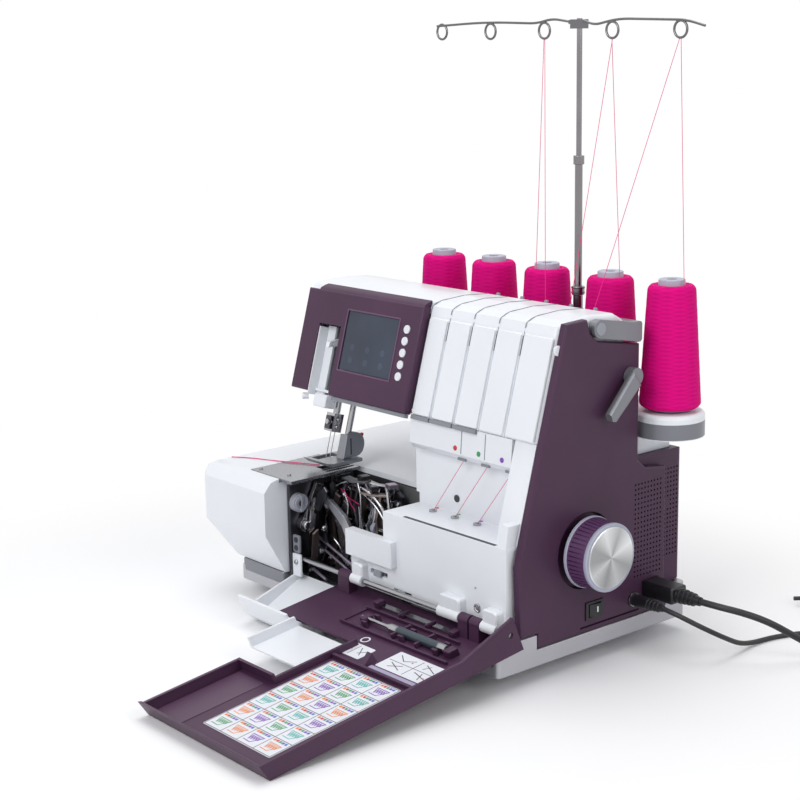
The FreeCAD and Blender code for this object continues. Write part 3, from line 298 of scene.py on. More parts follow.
# Near-black colour of painted shade for the depths of the looper chamber.
finish("chamber_painted_shade", (0.02, 0.02, 0.024), rough=0.55, vary=0.3, slot="black_plastic")
finish("icon_slate", (0.045, 0.06, 0.095), rough=0.2, vary=0.25, shine=0.35, slot="screen_glass")
finish("lever_bronze", (0.20, 0.16, 0.15), rough=0.3, metallic=0.85, vary=0.12, slot="steel")
finish("bar_lilac", (0.30, 0.26, 0.34), rough=0.3, metallic=0.7, vary=0.12, slot="steel")
finish("bright_steel", (0.48, 0.48, 0.50), rough=0.16, metallic=1.0, vary=0.25, grain=300,
       slot="steel")
INKS = {
    "red": ((0.55, 0.02, 0.03), 0.35), "green": ((0.03, 0.30, 0.10), 0.35),
    "violet": ((0.20, 0.05, 0.42), 0.35), "blue": ((0.04, 0.16, 0.50), 0.35),
    "orange": ((0.75, 0.22, 0.03), 0.45), "teal": ((0.06, 0.42, 0.38), 0.45),
    "dark": ((0.03, 0.03, 0.04), 0.5),
}
for ink, (color, rough) in INKS.items():
    finish(f"mark_{ink}", color, rough=rough, slot="grey_plastic")
print("finishes", len(MATERIALS))

# %% [markdown]
# CAD edges are knife sharp, but moulded covers catch a thin line of light on every edge. A copy
# of a node is merged, its flat faces are joined again, and a Bevel modifier rounds the sharp
# edges. The copy then stands for the node, in the same place.

# %% Softened covers
BEVELS_MM = {
    "base_tray": 1.0, "right_cover": 0.4, "rear_cover": 0.4, "front_panel": 0.8,
    "head_shell": 1.0, "head_fascia": 0.7, "bed_cover": 1.2, "front_door": 0.7,
    "looper_cover": 0.8, "carry_handle": 1.2, "spool_tray": 1.0, "lifter_lever": 0.8,
    "stitch_plate": 0.4, "side_sockets": 0.4, "rocker": 0.5, "presser_foot": 0.5,
    "needle_clamp": 0.5, "mains_plugs": 0.8, "foot_plugs": 0.5, "stitch_slider": 0.5,
    "finger_slider": 0.5, "width_dial": 0.6, "looper_bracket": 0.4, "upper_looper": 0.5,
    "lower_looper": 0.5, "upper_knife": 0.4, "take_up_lever": 0.5, "button_1": 0.6,
    "button_2": 0.6, "button_3": 0.6, "button_4": 0.6, "button_5": 0.6, "cone_cores": 0.6,
    "mast_tube": 0.6, "mast_middle": 0.6, "touch_screen": 0.3,
}
SHARP, FLAT = math.radians(32), math.radians(0.5)
MERGE_NODE = 0.00001


def softened(node, width_mm):
    """Merged copy of a node with rounded edges."""
    mesh = frame["nodes"][node].data.copy()
    shape = bmesh.new()
    shape.from_mesh(mesh)
    bmesh.ops.remove_doubles(shape, verts=shape.verts, dist=MERGE_NODE)
    bmesh.ops.dissolve_limit(shape, angle_limit=FLAT, verts=shape.verts, edges=shape.edges)
    shape.to_mesh(mesh)
    shape.free()
    mesh.materials.clear()
    mesh.materials.append(MATERIALS[slot_of_node[node]])
    mesh.polygons.foreach_set("use_smooth", np.ones(len(mesh.polygons), bool))
    mesh.set_sharp_from_angle(angle=SHARP)
    piece = bpy.data.objects.new(f"{node}_soft", mesh)
    scene.collection.objects.link(piece)
    bevel = piece.modifiers.new("edge", "BEVEL")
    bevel.width = width_mm * MM
    bevel.segments = 2
    bevel.limit_method = "ANGLE"
    bevel.angle_limit = SHARP
    bevel.harden_normals = True
    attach(piece, body_of_node[node])
    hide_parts(node)
    return piece


def repaint(piece, name):
    """Give a piece another finish."""
    piece.data.materials[0] = MATERIALS[name]


soft = {node: softened(node, width) for node, width in BEVELS_MM.items()}
for node, cad_piece in frame["nodes"].items():
    cad_piece.data.materials.clear()
    cad_piece.data.materials.append(MATERIALS[slot_of_node[node]])
print("softened", len(soft))

# %% [markdown]
# New pieces are surfaces on a grid: a function gives a point for each pair of parameters, as one
# array, and the quads follow from the grid. A grid can close on itself in either direction.

# %% Surface helpers
MERGE_PIECE = 0.000001


def add_piece(name, verts, faces, material, body="machine", smooth=True):
    """Mesh object from machine millimetres that rides on a body."""
    mesh = bpy.data.meshes.new(name)
    mesh.from_pydata(spot(verts).tolist(), [], [list(map(int, face)) for face in faces])
    mesh.materials.append(MATERIALS[material])
    mesh.polygons.foreach_set("use_smooth", np.full(len(mesh.polygons), smooth))
    mesh.set_sharp_from_angle(angle=SHARP)
    piece = bpy.data.objects.new(name, mesh)
    scene.collection.objects.link(piece)
    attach(piece, body)
    return piece


def face_outwards(piece, merge=MERGE_PIECE):
    """Turn every face of a closed piece outwards, once its doubled points are merged."""
    shape = bmesh.new()
    shape.from_mesh(piece.data)
    if merge:
        bmesh.ops.remove_doubles(shape, verts=shape.verts, dist=merge)
    bmesh.ops.recalc_face_normals(shape, faces=shape.faces)
    shape.to_mesh(piece.data)
    shape.free()
    return piece


def grid_faces(rows, columns, close_rows=False, close_columns=False):
    """Quads of a grid, wrapped where it closes."""
    i = np.arange(rows if close_rows else rows - 1)[:, None]
    j = np.arange(columns if close_columns else columns - 1)[None, :]
    a = i * columns + j
    b = ((i + 1) % rows) * columns + j
    c = ((i + 1) % rows) * columns + (j + 1) % columns
    d = i * columns + (j + 1) % columns
    return np.stack(np.broadcast_arrays(a, b, c, d), -1).reshape(-1, 4)


def circle(count):
    """Angles of evenly spaced points on a circle."""
    return np.arange(count) / count * 2 * math.pi


print("quads of a closed 3 by 4 grid", len(grid_faces(3, 4, True, True)))

# %% [markdown]
# The two leads are fixed lengths of flexible cord. Each follows the route of its CAD tube, as a
# smooth NURBS line through the same control points, and ends wound into a neat two-layer coil
# beside the machine, where a lead is put away. The coil's points come from the winding itself:
# in on the lower layer, half a turn of climb, out on the upper one.

# %% Leads
FLOOR = -14.0
TURN_GAP, CLIMB_TURNS, CLIMB_DIP = 0.7, 0.5, 0.25


def coil_points(centre, radius, middle, turns, start_degrees, sense, tail, per_turn=16):
    """Middle line of a two-layer coil: radius shrinks by a pitch a turn, climbs, then grows."""
    pitch = 2 * radius + TURN_GAP
    inner = middle - pitch * turns / 2
    whole = 2 * turns + CLIMB_TURNS
    turn = np.linspace(0, whole, round(whole * per_turn) + 1)
    climb = np.clip((turn - turns) / CLIMB_TURNS, 0, 1)
    outer_turn = np.maximum(turns - turn, 0) + np.maximum(turn - turns - CLIMB_TURNS, 0)
    reach = inner + pitch * outer_turn - CLIMB_DIP * pitch * np.sin(math.pi * climb)
    angle = math.radians(start_degrees) + sense * 2 * math.pi * turn
    lift = FLOOR + radius + pitch * (1 - np.cos(math.pi * climb)) / 2
    points = np.stack([centre[0] + reach * np.cos(angle), centre[1] + reach * np.sin(angle),
                       lift], -1)
    stretch = 1 / math.cos(math.pi / per_turn)
    points[1:-1, :2] = centre + (points[1:-1, :2] - centre) * stretch
    last = points[-1] - points[-2]
    last[2] = 0
    return np.concatenate([points, [points[-1] + last / np.linalg.norm(last) * tail]])


def cord(name, route, radius, material):
    """One NURBS line of the given thickness through a route, and where it starts."""
    points = spot(route)
    curve = bpy.data.curves.new(name, "CURVE")
    curve.dimensions = "3D"
    curve.bevel_depth = radius * MM
    curve.bevel_resolution = 5
    curve.use_fill_caps = True
    spline = curve.splines.new("NURBS")
    spline.points.add(len(points) - 1)
    spline.points.foreach_set("co", np.column_stack([points, np.ones(len(points))]).ravel())
    spline.order_u = 3
    spline.use_endpoint_u = True
    spline.resolution_u = 6
    curve.materials.append(MATERIALS[material])
    piece = bpy.data.objects.new(name, curve)
    scene.collection.objects.link(piece)
    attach(piece, "machine")
    return piece, points[0]


MAINS_ROUTE = [(58, 188, 38.5), (76, 189, 38.4), (94, 200, 35), (108, 218, 26), (118, 238, 12),
               (127, 258, -2), (136, 278, -9.6), (151.3, 301.7, -11)]
FOOT_ROUTE = [(36, 165.5, 31.6), (51, 166.5, 29.5), (64, 174, 23), (72, 188, 14), (74, 206, 4),
              (72, 226, -6), (70, 248, -11.2), (72, 271, -11.75), (80, 293, -11.75),
              (92, 314, -11.75), (107.1, 334.8, -11.75)]
MAINS_RADIUS, FOOT_RADIUS = 3, 2.25
MAINS_CENTRE, FOOT_CENTRE = (205, 297), (92, 378)
mains_coil = coil_points(MAINS_CENTRE, MAINS_RADIUS, middle=36, turns=3, start_degrees=145,
                         sense=-1, tail=22)
foot_coil = coil_points(FOOT_CENTRE, FOOT_RADIUS, middle=27, turns=4, start_degrees=-36.87,
                        sense=1, tail=6)
mains, mains_exit = cord("mains_lead", np.concatenate([MAINS_ROUTE, mains_coil]), MAINS_RADIUS,
                         "black_cord")
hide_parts("mains_cord", "mains_coil")
foot, foot_exit = cord("foot_lead", np.concatenate([FOOT_ROUTE, foot_coil]), FOOT_RADIUS,
                       "black_cord")
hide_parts("foot_cord", "foot_coil")
print("lead points", len(mains_coil) + len(MAINS_ROUTE), len(foot_coil) + len(FOOT_ROUTE))

# %% [markdown]
# Yarn on a cone shows its single turns of thread. Two families of sines that lean opposite ways,
# on the winding's own UV map, give those turns both as tone and as relief.

# %% Yarn
TURNS_SHOWN, TURN_SLANT = 30, 6.0


def wound_finish():
    """Pink yarn: fine turns from sines of the winding's own UV map, for tone and relief."""
    tree = finish("wound_yarn", (0.70, 0.001, 0.20), rough=0.7, vary=0.06, grain=2600, relief=0.1,
                  shine=0.1, slot="thread_pink").node_tree
    place = add_node(tree, "UVMap", uv_map="winding").outputs["UV"]
    parts = add_node(tree, "SeparateXYZ", {0: place}).outputs
    along = reckon(tree, "MULTIPLY", parts["Y"], 2 * math.pi * TURNS_SHOWN)
    leans = [reckon(tree, "MULTIPLY_ADD", parts["X"], 2 * math.pi * slant, along)
             for slant in (TURN_SLANT, -TURN_SLANT)]
    both = reckon(tree, "MAXIMUM", *[reckon(tree, "SINE", lean) for lean in leans])
    tone = add_node(tree, "ValToRGB", {"Fac": both})
    tone.color_ramp.elements[0].color = (0.62, 0.001, 0.172, 1)
    tone.color_ramp.elements[1].color = (0.73, 0.002, 0.210, 1)
    bump = add_node(tree, "Bump", {"Strength": 0.2, "Distance": 0.0003, "Height": both})
    feed(tree, tree.nodes["Principled BSDF"], {"Base Color": tone.outputs["Color"],
                                               "Normal": bump.outputs["Normal"]})


wound_finish()
print("yarn turns", TURNS_SHOWN)

# %% [markdown]
# A cone of yarn is wound in crossing helices. The surface is a taper turned about the spool pin;
# its radius rises and falls with two families of waves that lean opposite ways, which leaves the
# diamond pattern of the real winding. Its bore follows the cone's core.

# %% Thread cones
SPOOL_X = [-294, -222, -150, -70, 2]
STAND_Y = 208.0
CONE_LOW, CONE_HIGH, CONE_WIDE, CONE_NARROW = 201.0, 309.0, 27.3, 20.8
CORE_WIDE, CORE_TAPER, CORE_TALL, CORE_BELOW = 18.9, 7.0, 115, 2
CROSSINGS, CROSS_PITCH, CROSS_DEPTH = 6, 15.0, 0.10
AROUND, ALONG = 168, 84


def thread_cone(index, x):
    """Closed taper: outer side, rounded shoulders and the bore round the core."""
    tall = CONE_HIGH - CONE_LOW
    rise = np.linspace(0, 1, ALONG)
    shoulder = 1 - np.maximum(np.abs(rise - 0.5) - 0.46, 0) ** 2 / 0.04 ** 2 * 0.12
    radius = (CONE_WIDE + (CONE_NARROW - CONE_WIDE) * rise) * shoulder
    bore_rise = np.array([1.0, 0.0])
    bore = CORE_WIDE - CORE_TAPER * (bore_rise * tall + CORE_BELOW) / CORE_TALL
    ring_radius = np.concatenate([radius, bore])[:, None]
    ring_height = (CONE_LOW + tall * np.concatenate([rise, bore_rise]))[:, None]
    angle = circle(AROUND)
    fade = np.concatenate([np.sin(math.pi * rise) ** 0.3, [0, 0]])[:, None]
    turns = 2 * math.pi * (ring_height - CONE_LOW) / CROSS_PITCH
    cross = np.maximum(np.cos(CROSSINGS * angle + turns), np.cos(CROSSINGS * angle - turns))
    r = ring_radius + CROSS_DEPTH * fade * cross
    verts = np.stack([x + r * np.cos(angle), STAND_Y + r * np.sin(angle),
                      np.broadcast_to(ring_height, r.shape)], -1).reshape(-1, 3)
    faces = grid_faces(len(r), AROUND, close_rows=True, close_columns=True)[:, ::-1]
    piece = add_piece(f"thread_cone_{index}", verts, faces, "wound_yarn")
    corner_row, corner_column = faces // AROUND, faces % AROUND
    wrap = (corner_column == 0) & (corner_column.max(1, keepdims=True) == AROUND - 1)
    uv = np.stack([(corner_column + wrap * AROUND) / AROUND,
                   np.minimum(corner_row, ALONG - 1) / (ALONG - 1)], -1)
    layer = piece.data.uv_layers.new(name="winding")
    layer.data.foreach_set("uv", uv.reshape(-1))
    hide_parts("thread_cones")
    return piece


cones = [thread_cone(i, x) for i, x in enumerate(SPOOL_X, start=1)]
print("cones", len(cones))

# %% [markdown]
# Covers, cards and coloured marks are thin plates with an eased front edge. Each lies on one face
# of the machine, and a small function per face turns a position on it and a height above it into
# a point, so one plate helper serves them all.

# %% Plates on the machine's faces
def on_panel(y):
    """Placer for a plate that faces the operator at a depth."""
    return lambda u, v, h: np.stack([u, y - h, v], -1)


def on_top(z):
    """Placer for a plate that lies on a level face."""
    return lambda u, v, h: np.stack([u, v, z + h], -1)


def on_side(x):
    """Placer for a plate on the right side; u runs to the back, v up."""
    return lambda u, v, h: np.stack([x + h, u, v], -1)


def on_lean(inward):
    """Placer for a plate on the leaning front."""
    return lambda u, v, h: on_front(u, inward - h, v)


def inside_door(depth):
    """Placer for a plate on the door's inner face."""
    return lambda u, v, h: on_door(u, depth + h, v)


def plate(name, outline, place, thickness, material, body="machine", edge=0.15):
    """Thin plate: an outline in two directions, carried from its back to an eased front edge.
    place(u, v, h) gives the machine point at outline position u, v and height h, in mm."""
    u, v = np.asarray(outline, float).T
    mid_u, mid_v = u.mean(), v.mean()
    ease = 1 - edge / np.hypot(u - mid_u, v - mid_v).max()
    count = len(u)
    rings = [place(u, v, np.zeros(count)), place(u, v, np.full(count, thickness - edge)),
             place(mid_u + (u - mid_u) * ease, mid_v + (v - mid_v) * ease,
                   np.full(count, thickness))]
    faces = [*grid_faces(3, count, close_columns=True).tolist(), list(range(count))[::-1],
             list(range(2 * count, 3 * count))]
    return face_outwards(add_piece(name, np.concatenate(rings), faces, material, body),
                         merge=None)


def rounded(u0, u1, v0, v1, radius, steps=5):
    """Rectangle with round corners, as points in order."""
    turn = np.linspace(0, math.pi / 2, steps)
    corners = [(u1 - radius, v1 - radius), (u0 + radius, v1 - radius),
               (u0 + radius, v0 + radius), (u1 - radius, v0 + radius)]
    arcs = [np.stack([u + radius * np.cos(turn + quarter * math.pi / 2),
                      v + radius * np.sin(turn + quarter * math.pi / 2)], -1)
            for quarter, (u, v) in enumerate(corners)]
    return np.concatenate(arcs)


def disc(u, v, radius, steps=28):
    """Circle as points in order."""
    turn = circle(steps)
    return np.stack([u + radius * np.cos(turn), v + radius * np.sin(turn)], -1)


print("points round a plate", len(rounded(0, 10, 0, 10, 1)), "round a disc", len(disc(0, 0, 1)))

# %% [markdown]
# Many small pieces share a few shapes. Rods, wires and thread are a circle carried along a
# path; screws, rings and knobs are a profile turned about an axis; printed marks are many small
# plates in one mesh. Each helper works the whole shape out as one array.

# %% Wires and turned pieces
def along_path(points, samples):
    """Smooth path through points: cubic pieces b + (c - a) t / 2 + ..., where each slope comes
    from the two neighbours and each end is carried on straight."""
    p = np.asarray(points, float)
    if len(p) == 2:
        return p[0] + (p[1] - p[0]) * np.linspace(0, 1, samples)[:, None]
    p = np.concatenate([[2 * p[0] - p[1]], p, [2 * p[-1] - p[-2]]])
    place = np.linspace(0, len(p) - 3 - 1e-9, samples)
    i = place.astype(int)
    t = (place - i)[:, None]
    a, b, c, d = p[i], p[i + 1], p[i + 2], p[i + 3]
    return 0.5 * (2 * b + (c - a) * t + (2 * a - 5 * b + 4 * c - d) * t ** 2
                  + (3 * b - a - 3 * c + d) * t ** 3)


def wire(name, points, radius, material, body="machine", samples=24, sides=10):
    """Round wire: rings square to a smooth path, with flat ends. Points and radius in mm."""
    path = along_path(points, samples)
    heading = np.gradient(path, axis=0)
    heading /= np.linalg.norm(heading, axis=1, keepdims=True)
    guide = np.eye(3)[np.argmin(np.abs(heading).max(0))]
    first = np.cross(heading, guide)
    first /= np.linalg.norm(first, axis=1, keepdims=True)
    second = np.cross(heading, first)
    angle = circle(sides)[:, None]
    ring = first[:, None] * np.cos(angle) + second[:, None] * np.sin(angle)
    verts = (path[:, None] + radius * ring).reshape(-1, 3)
    faces = [*grid_faces(samples, sides, close_columns=True).tolist(), list(range(sides)),
             list(range((samples - 1) * sides, samples * sides))[::-1]]
    return face_outwards(add_piece(name, verts, faces, material, body)), spot(path)


def turned(name, profile, centre, axis, material, body="machine", steps=40):
    """Profile of (distance along the axis, radius) turned about the axis; the ends meet on it."""
    along, radius = np.asarray(profile, float).T
    axis = np.asarray(axis, float) / np.linalg.norm(axis)
    first = np.cross(axis, np.eye(3)[np.argmin(np.abs(axis))])
    first /= np.linalg.norm(first)
    second = np.cross(axis, first)
    angle = circle(steps)[:, None]
    ring = first * np.cos(angle) + second * np.sin(angle)
    verts = np.asarray(centre, float) + along[:, None, None] * axis + radius[:, None, None] * ring
    faces = grid_faces(len(along), steps, close_rows=radius.min() > 0, close_columns=True)
    return face_outwards(add_piece(name, verts.reshape(-1, 3), faces, material, body))


def screw(name, centre, axis, radius, body="machine"):
    """Pan head with a slot cut round its middle: a domed profile turned about the axis."""
    profile = [(0, 0), (0, radius), (0.5 * radius, radius), (0.75 * radius, 0.8 * radius),
               (0.8 * radius, 0.35 * radius), (0.55 * radius, 0.3 * radius), (0.55 * radius, 0)]
    return turned(name, profile, centre, axis, "steel", body, steps=24)


print("points on a path", along_path([(0, 0, 0), (1, 1, 0), (2, 0, 0)], 24).shape)

# %% [markdown]
# A printed mark is far thinner than a plate, and there are many of each kind. One mesh per ink
# holds them all: each is four corners on a face, lifted by the thickness of the print.

# %% Prints
def prints(name, quads, place, thickness, material, body="machine"):
    """Many thin plates in one mesh: each is four corners in the face, lifted by a thickness."""
    corners = np.asarray(quads, float).reshape(-1, 4, 2)
    u, v = corners[..., 0].ravel(), corners[..., 1].ravel()
    count = len(u)
    verts = [place(u, v, np.zeros(count)), place(u, v, np.full(count, thickness))]
    start = np.arange(len(corners))[:, None] * 4
    bottom, top = start + np.array([3, 2, 1, 0]), start + count + np.arange(4)
    sides = [start + np.array([i, (i + 1) % 4, (i + 1) % 4 + count, i + count]) for i in range(4)]
    return face_outwards(add_piece(name, np.concatenate(verts),
                                   np.concatenate([bottom, top, *sides]), material, body,
                                   smooth=False))


def blocks(boxes):
    """Corners of rectangles given as (u0, u1, v0, v1)."""
    u0, u1, v0, v1 = np.asarray(boxes, float).T
    return np.stack([np.stack(corner, -1) for corner in ((u0, v0), (u1, v0), (u1, v1), (u0, v1))],
                    1)


def strokes(lines, width):
    """Corners of straight strokes given as (u0, v0, u1, v1)."""
    start, end = np.asarray(lines, float).reshape(-1, 2, 2).transpose(1, 0, 2)
    heading = end - start
    heading /= np.linalg.norm(heading, axis=1, keepdims=True)
    side = np.stack([-heading[:, 1], heading[:, 0]], -1) * width / 2
    return np.stack([start - side, end - side, end + side, start + side], 1)


print("corners of a stroke", strokes([(0, 0, 1, 0)], 0.2)[0].tolist())

# %% [markdown]
# The thread channels run between five long covers on the leaning front. Each cover is a thin
# plate with eased edges; the groove left between two covers is the channel, with a dark slit at
# its top where the tension discs grip the thread. Seams run on over the top of the tower.

# %% Tower covers
GROOVES = [-139.7, -109.4, -78.2, -46.3]
EDGES = [-165.0, *GROOVES, -10.5]
HALF_GROOVE = 1.7
GAPS = [0.4, *[HALF_GROOVE] * 4, 0.2]
for i in range(5):
    outline = rounded(EDGES[i] + GAPS[i], EDGES[i + 1] - GAPS[i + 1], 0.4, 89.0, 1.6)
    plate(f"tower_panel_{i + 1}", outline, on_lean(0.0), 1.9, "white_plastic", edge=1.0)
prints("tension_slits", blocks([(x - 0.75, x + 0.75, 70, 87) for x in (-164.6, *GROOVES)]),
       on_lean(0.0), 0.35, "mark_dark")
strips = [(a + 1.0, b - 1.0, -3.6, 0.2) for a, b in zip(EDGES[:3], EDGES[1:4])]
prints("panel_strips", blocks(strips), on_lean(0.6), 3.4, "strip_grey")
TOP_LINE = [(77.6, 281.5), (80, 286), (90, 289.8), (104, 290.7), (118, 291.5), (133, 290.6),
            (148, 289.5)]
for i, x in enumerate((*GROOVES, -166.4), start=1):
    wire(f"top_seam_{i}", [(x, y, z) for y, z in TOP_LINE], 0.42, "strip_grey", samples=30, sides=6)
REAR_GUIDE = [(0, 0), (0, 2.2), (3.2, 1.9), (3.6, 1.2), (3.6, 0)]
for i, x in enumerate((-157, -125.6, -95, -64.2, -35.4), start=1):
    turned(f"rear_guide_{i}", REAR_GUIDE, (x, 151.0, 287.6), (0, 0.35, 1), "strip_grey", steps=20)
print("tower covers", len(EDGES) - 1)

# %% [markdown]
# Inside the threading recess three threads come out under the band and go down to the air
# ports, which blow them to the loopers. Slits part the band, and each channel has its colour.
# A taut thread is a thin straight wire between two fixed ends.

# %% Threading recess
MARKS = [("red", -136, -106, -98.5), ("green", -107, -76, -68.5), ("violet", -78, -47, -38.5)]
BAND_Y, BAND_LOW, BAND_RUN, BAND_RISE = 50, 166, 2, 24.5
SHELF = 107.0


def on_band(u, v, h):
    """Point on the recess's band, which leans a little."""
    return np.stack([u, BAND_Y + (v - BAND_LOW) * BAND_RUN / BAND_RISE - h, v], -1)


def taut_thread(name, ends, radius, body, samples):
    """Straight thread between two points, and its path."""
    piece, path = wire(name, ends, radius, "thread_pink", body, samples=samples, sides=8)
    return piece, path


for color, port_x, dot_x, slit_x in MARKS:
    plate(f"dot_{color}", disc(dot_x, 171, 2.3), on_band, 0.5, f"mark_{color}")
    plate(f"port_mark_{color}", rounded(port_x - 8, port_x - 4, 58.4, 61.4, 1.4), on_top(SHELF),
          0.4, f"mark_{color}")
    taut_thread(f"recess_thread_{color}", [(slit_x, 53.5, 160.2), (port_x + 0.5, 50.2, 108.2)],
                0.24, "machine", samples=8)
prints("band_slits", blocks([(x - 0.5, x + 0.5, 167, 189.5) for x in (-98.5, -68.5)]), on_band,
       0.12, "strip_grey")
prints("band_hooks", blocks([(x - 6, x + 4, 160.4, 162.4) for *_, x in MARKS]), on_panel(53.6),
       2.0, "strip_grey")
print("recess threads", len(MARKS))

# %% [markdown]
# The front panel turns back at its right end: a thin return below and a thicker cheek above,
# with a socket and a small pip on its face. A lamp and a dark line finish the shelf. These are
# plates on their side and small turned pieces.

# %% Panel end and shelf
RETURN = [(18.6, 26), (18.6, 105.3), (40, 105.3), (40, 26)]
CHEEK = [(18.3, 105), (18.8, 110), (21.6, 126), (40, 126), (40, 105)]
plate("panel_return", RETURN, on_side(-11.6), 1.6, "white_plastic", edge=0.3)
plate("panel_cheek", CHEEK, on_side(-19.0), 9.06, "white_plastic", edge=0.8)
SOCKET = [(0, 0), (0, 4.4), (0.8, 4.2), (0.9, 3.2), (0.3, 2.8), (0.3, 0)]
PIP = [(0, 0), (0, 1.2), (0.6, 1.0), (0.6, 0)]
turned("panel_socket", SOCKET, (-43.6, 18.1, 47.9), FORWARD, "bright_steel", steps=32)
turned("panel_pip", PIP, (-46.1, 18.1, 65), FORWARD, "rim_pale", steps=20)
plate("air_lamp", disc(-117, 120.6, 3.4), on_panel(62.0), 0.8, "mark_dark")
prints("shelf_line", blocks([(-142, -24, 19.2, 23.0)]), on_top(SHELF), 0.12, "mark_dark")

# %% [markdown]
# The fascia carries five white buttons beside the dark screen. The slot beside them has a white
# lining with a rail, and under it sits the small block of the needle threader. All of them lie
# on the leaning front, so one placer serves them at different depths.

# %% Head details
SLOT_WALL = [(43.1, 189.5), (61.1, 253.0), (84.7, 246.3), (66.7, 182.8)]
THREADER_KNOB = [(0, 0), (0, 3.0), (5.5, 3.2), (6.5, 2.6), (6.8, 0)]
SCREEN_RIM = [(-271.6, -270.0, 23.9, 83.2), (-196.0, -194.4, 23.9, 83.2),
              (-270, -196, 23.9, 25.5), (-270, -196, 81.6, 83.2)]
FASCIA_LIP = [(69.7, 285.0), (72.6, 287.9), (77, 289.6), (81.5, 290.6), (81.5, 288.4),
              (79.2, 284.6)]
plate("slot_lining_left", rounded(-309.3, -297.4, -6, 64, 0.8), on_lean(4.0), 1.6, "white_plastic")
plate("slot_lining_right", rounded(-288.0, -278.2, -6, 64, 0.8), on_lean(6.0), 1.6, "rim_pale")
prints("slot_rails", blocks([(-297.2, -296.0, -6, 64), (-289.6, -288.4, -6, 64)]), on_lean(6.5),
       3.0, "strip_grey")
plate("slot_wall", SLOT_WALL, on_side(-309.2), 0.8, "white_plastic", edge=0.2)
plate("threader_block", rounded(-305, -286, -14, -1.6, 1.5), on_lean(9.0), 12.0, "white_plastic",
      edge=0.8)
turned("threader_knob", THREADER_KNOB, on_front(-314, -2, -6), (-0.6, -0.8, 0), "white_plastic",
       steps=28)
prints("screen_rim", blocks(SCREEN_RIM), on_lean(-9.0), 0.35, "plum_rim")
plate("fascia_lip", FASCIA_LIP, on_side(-320.5), 152.0, "plum_plastic", edge=0.4)
icons = [(x, along) for along in (36, 48) for x in (-256, -234, -212)]
for i, (x, along) in enumerate(icons, start=1):
    plate(f"screen_icon_{i}", disc(x, along, 3.2), on_lean(-8.3), 0.06, "icon_slate", edge=0.02)
prints("fascia_underside", blocks([(-274, -168, -4.6, -1.2)]), on_lean(-2.0), 5.0, "strip_grey")
for i in range(1, 6):
    repaint(soft[f"button_{i}"], "label_white")
print("screen icons", len(icons))

# %% [markdown]
# The presser foot is a grey metal shoe whose cheek curves down at the back, with a dark slot and
# a red mark; the needle clamp is bright steel with two set screws. The pieces ride with the
# presser and with the needle, so they move as those do.

# %% Presser foot and needle clamp
sweep_angle = np.linspace(math.radians(62), math.radians(-90), 14)
foot_back = np.stack([77 + 10 * np.cos(sweep_angle), 139 + 12 * np.sin(sweep_angle)], -1)
plate("foot_cheek", [(60.5, 127), (66, 150), (74, 152), *map(tuple, foot_back)], on_side(-280.1),
      2.6, "foot_grey", "presser", edge=0.7)
prints("foot_slot", blocks([(69.5, 71.0, 130, 146)]), on_side(-277.6), 0.2, "mark_dark", "presser")
repaint(soft["presser_foot"], "foot_grey")
turned("foot_mark", [(0, 0), (0, 1.7), (1.6, 1.7), (2.0, 0)], (-279.2, 84.5, 147.6), RIGHTWARD,
       "mark_red", "presser", steps=16)
repaint(soft["needle_clamp"], "bright_steel")
plate("clamp_face", rounded(-304.5, -297, -34, -21, 0.8), on_lean(17.6), 1.4, "dark_steel",
      "needle", edge=0.3)
for i, along in enumerate((-31, -23.5), start=1):
    screw(f"clamp_set_{i}", on_front(-294.7, 24, along), RIGHTWARD, 2.3, "needle")
screw("clamp_screw", on_front(-306.9, 24, -27), LEFTWARD, 2.2, "needle")

# %% [markdown]
# Behind the open door lies the looper chamber. Around the two loopers the real machine is dense
# with levers, links, bent air tubes and screws in bright and dark steel. They are plates and
# wires set behind, between and before the moving loopers, clear of their swing.

# %% Looper chamber levers
LEVERS = [
    ("link_left", [(-288, 22), (-279, 20), (-272, 52), (-268, 84), (-274, 100), (-281, 98),
                   (-279, 70), (-285, 45)], 62, 4, "dark_steel"),
    ("link_middle", [(-268, 18), (-258, 18), (-252, 44), (-255, 78), (-246, 103), (-254, 106),
                     (-264, 78), (-261, 46)], 70, 4, "lever_bronze"),
    ("link_right", [(-246, 20), (-238, 18), (-226, 48), (-228, 70), (-236, 72), (-236, 52)],
     58, 4, "steel"),
    ("guide_plate", [(-243, 76), (-236, 64), (-222, 64), (-216, 76), (-222, 88), (-236, 88)],
     66, 5, "rim_pale"),
    ("cross_bar", [(-288, 22), (-212, 27), (-212, 35), (-288, 31)], 56, 5, "bar_lilac"),
    ("cam_plate", [(-216, 84), (-204, 80), (-202, 102), (-214, 108), (-224, 104)],
     74, 4, "dark_steel"),
    ("feed_arm", [(-276, 88), (-232, 94), (-230, 101), (-276, 97)], 78, 4, "steel"),
    ("front_link", [(-283, 16), (-274, 16), (-262, 34), (-266, 40), (-276, 31)],
     52, 3, "lever_bronze"),
]
for name, outline, depth, thickness, material in LEVERS:
    plate(f"chamber_{name}", outline, on_panel(depth), thickness, material, edge=0.6)
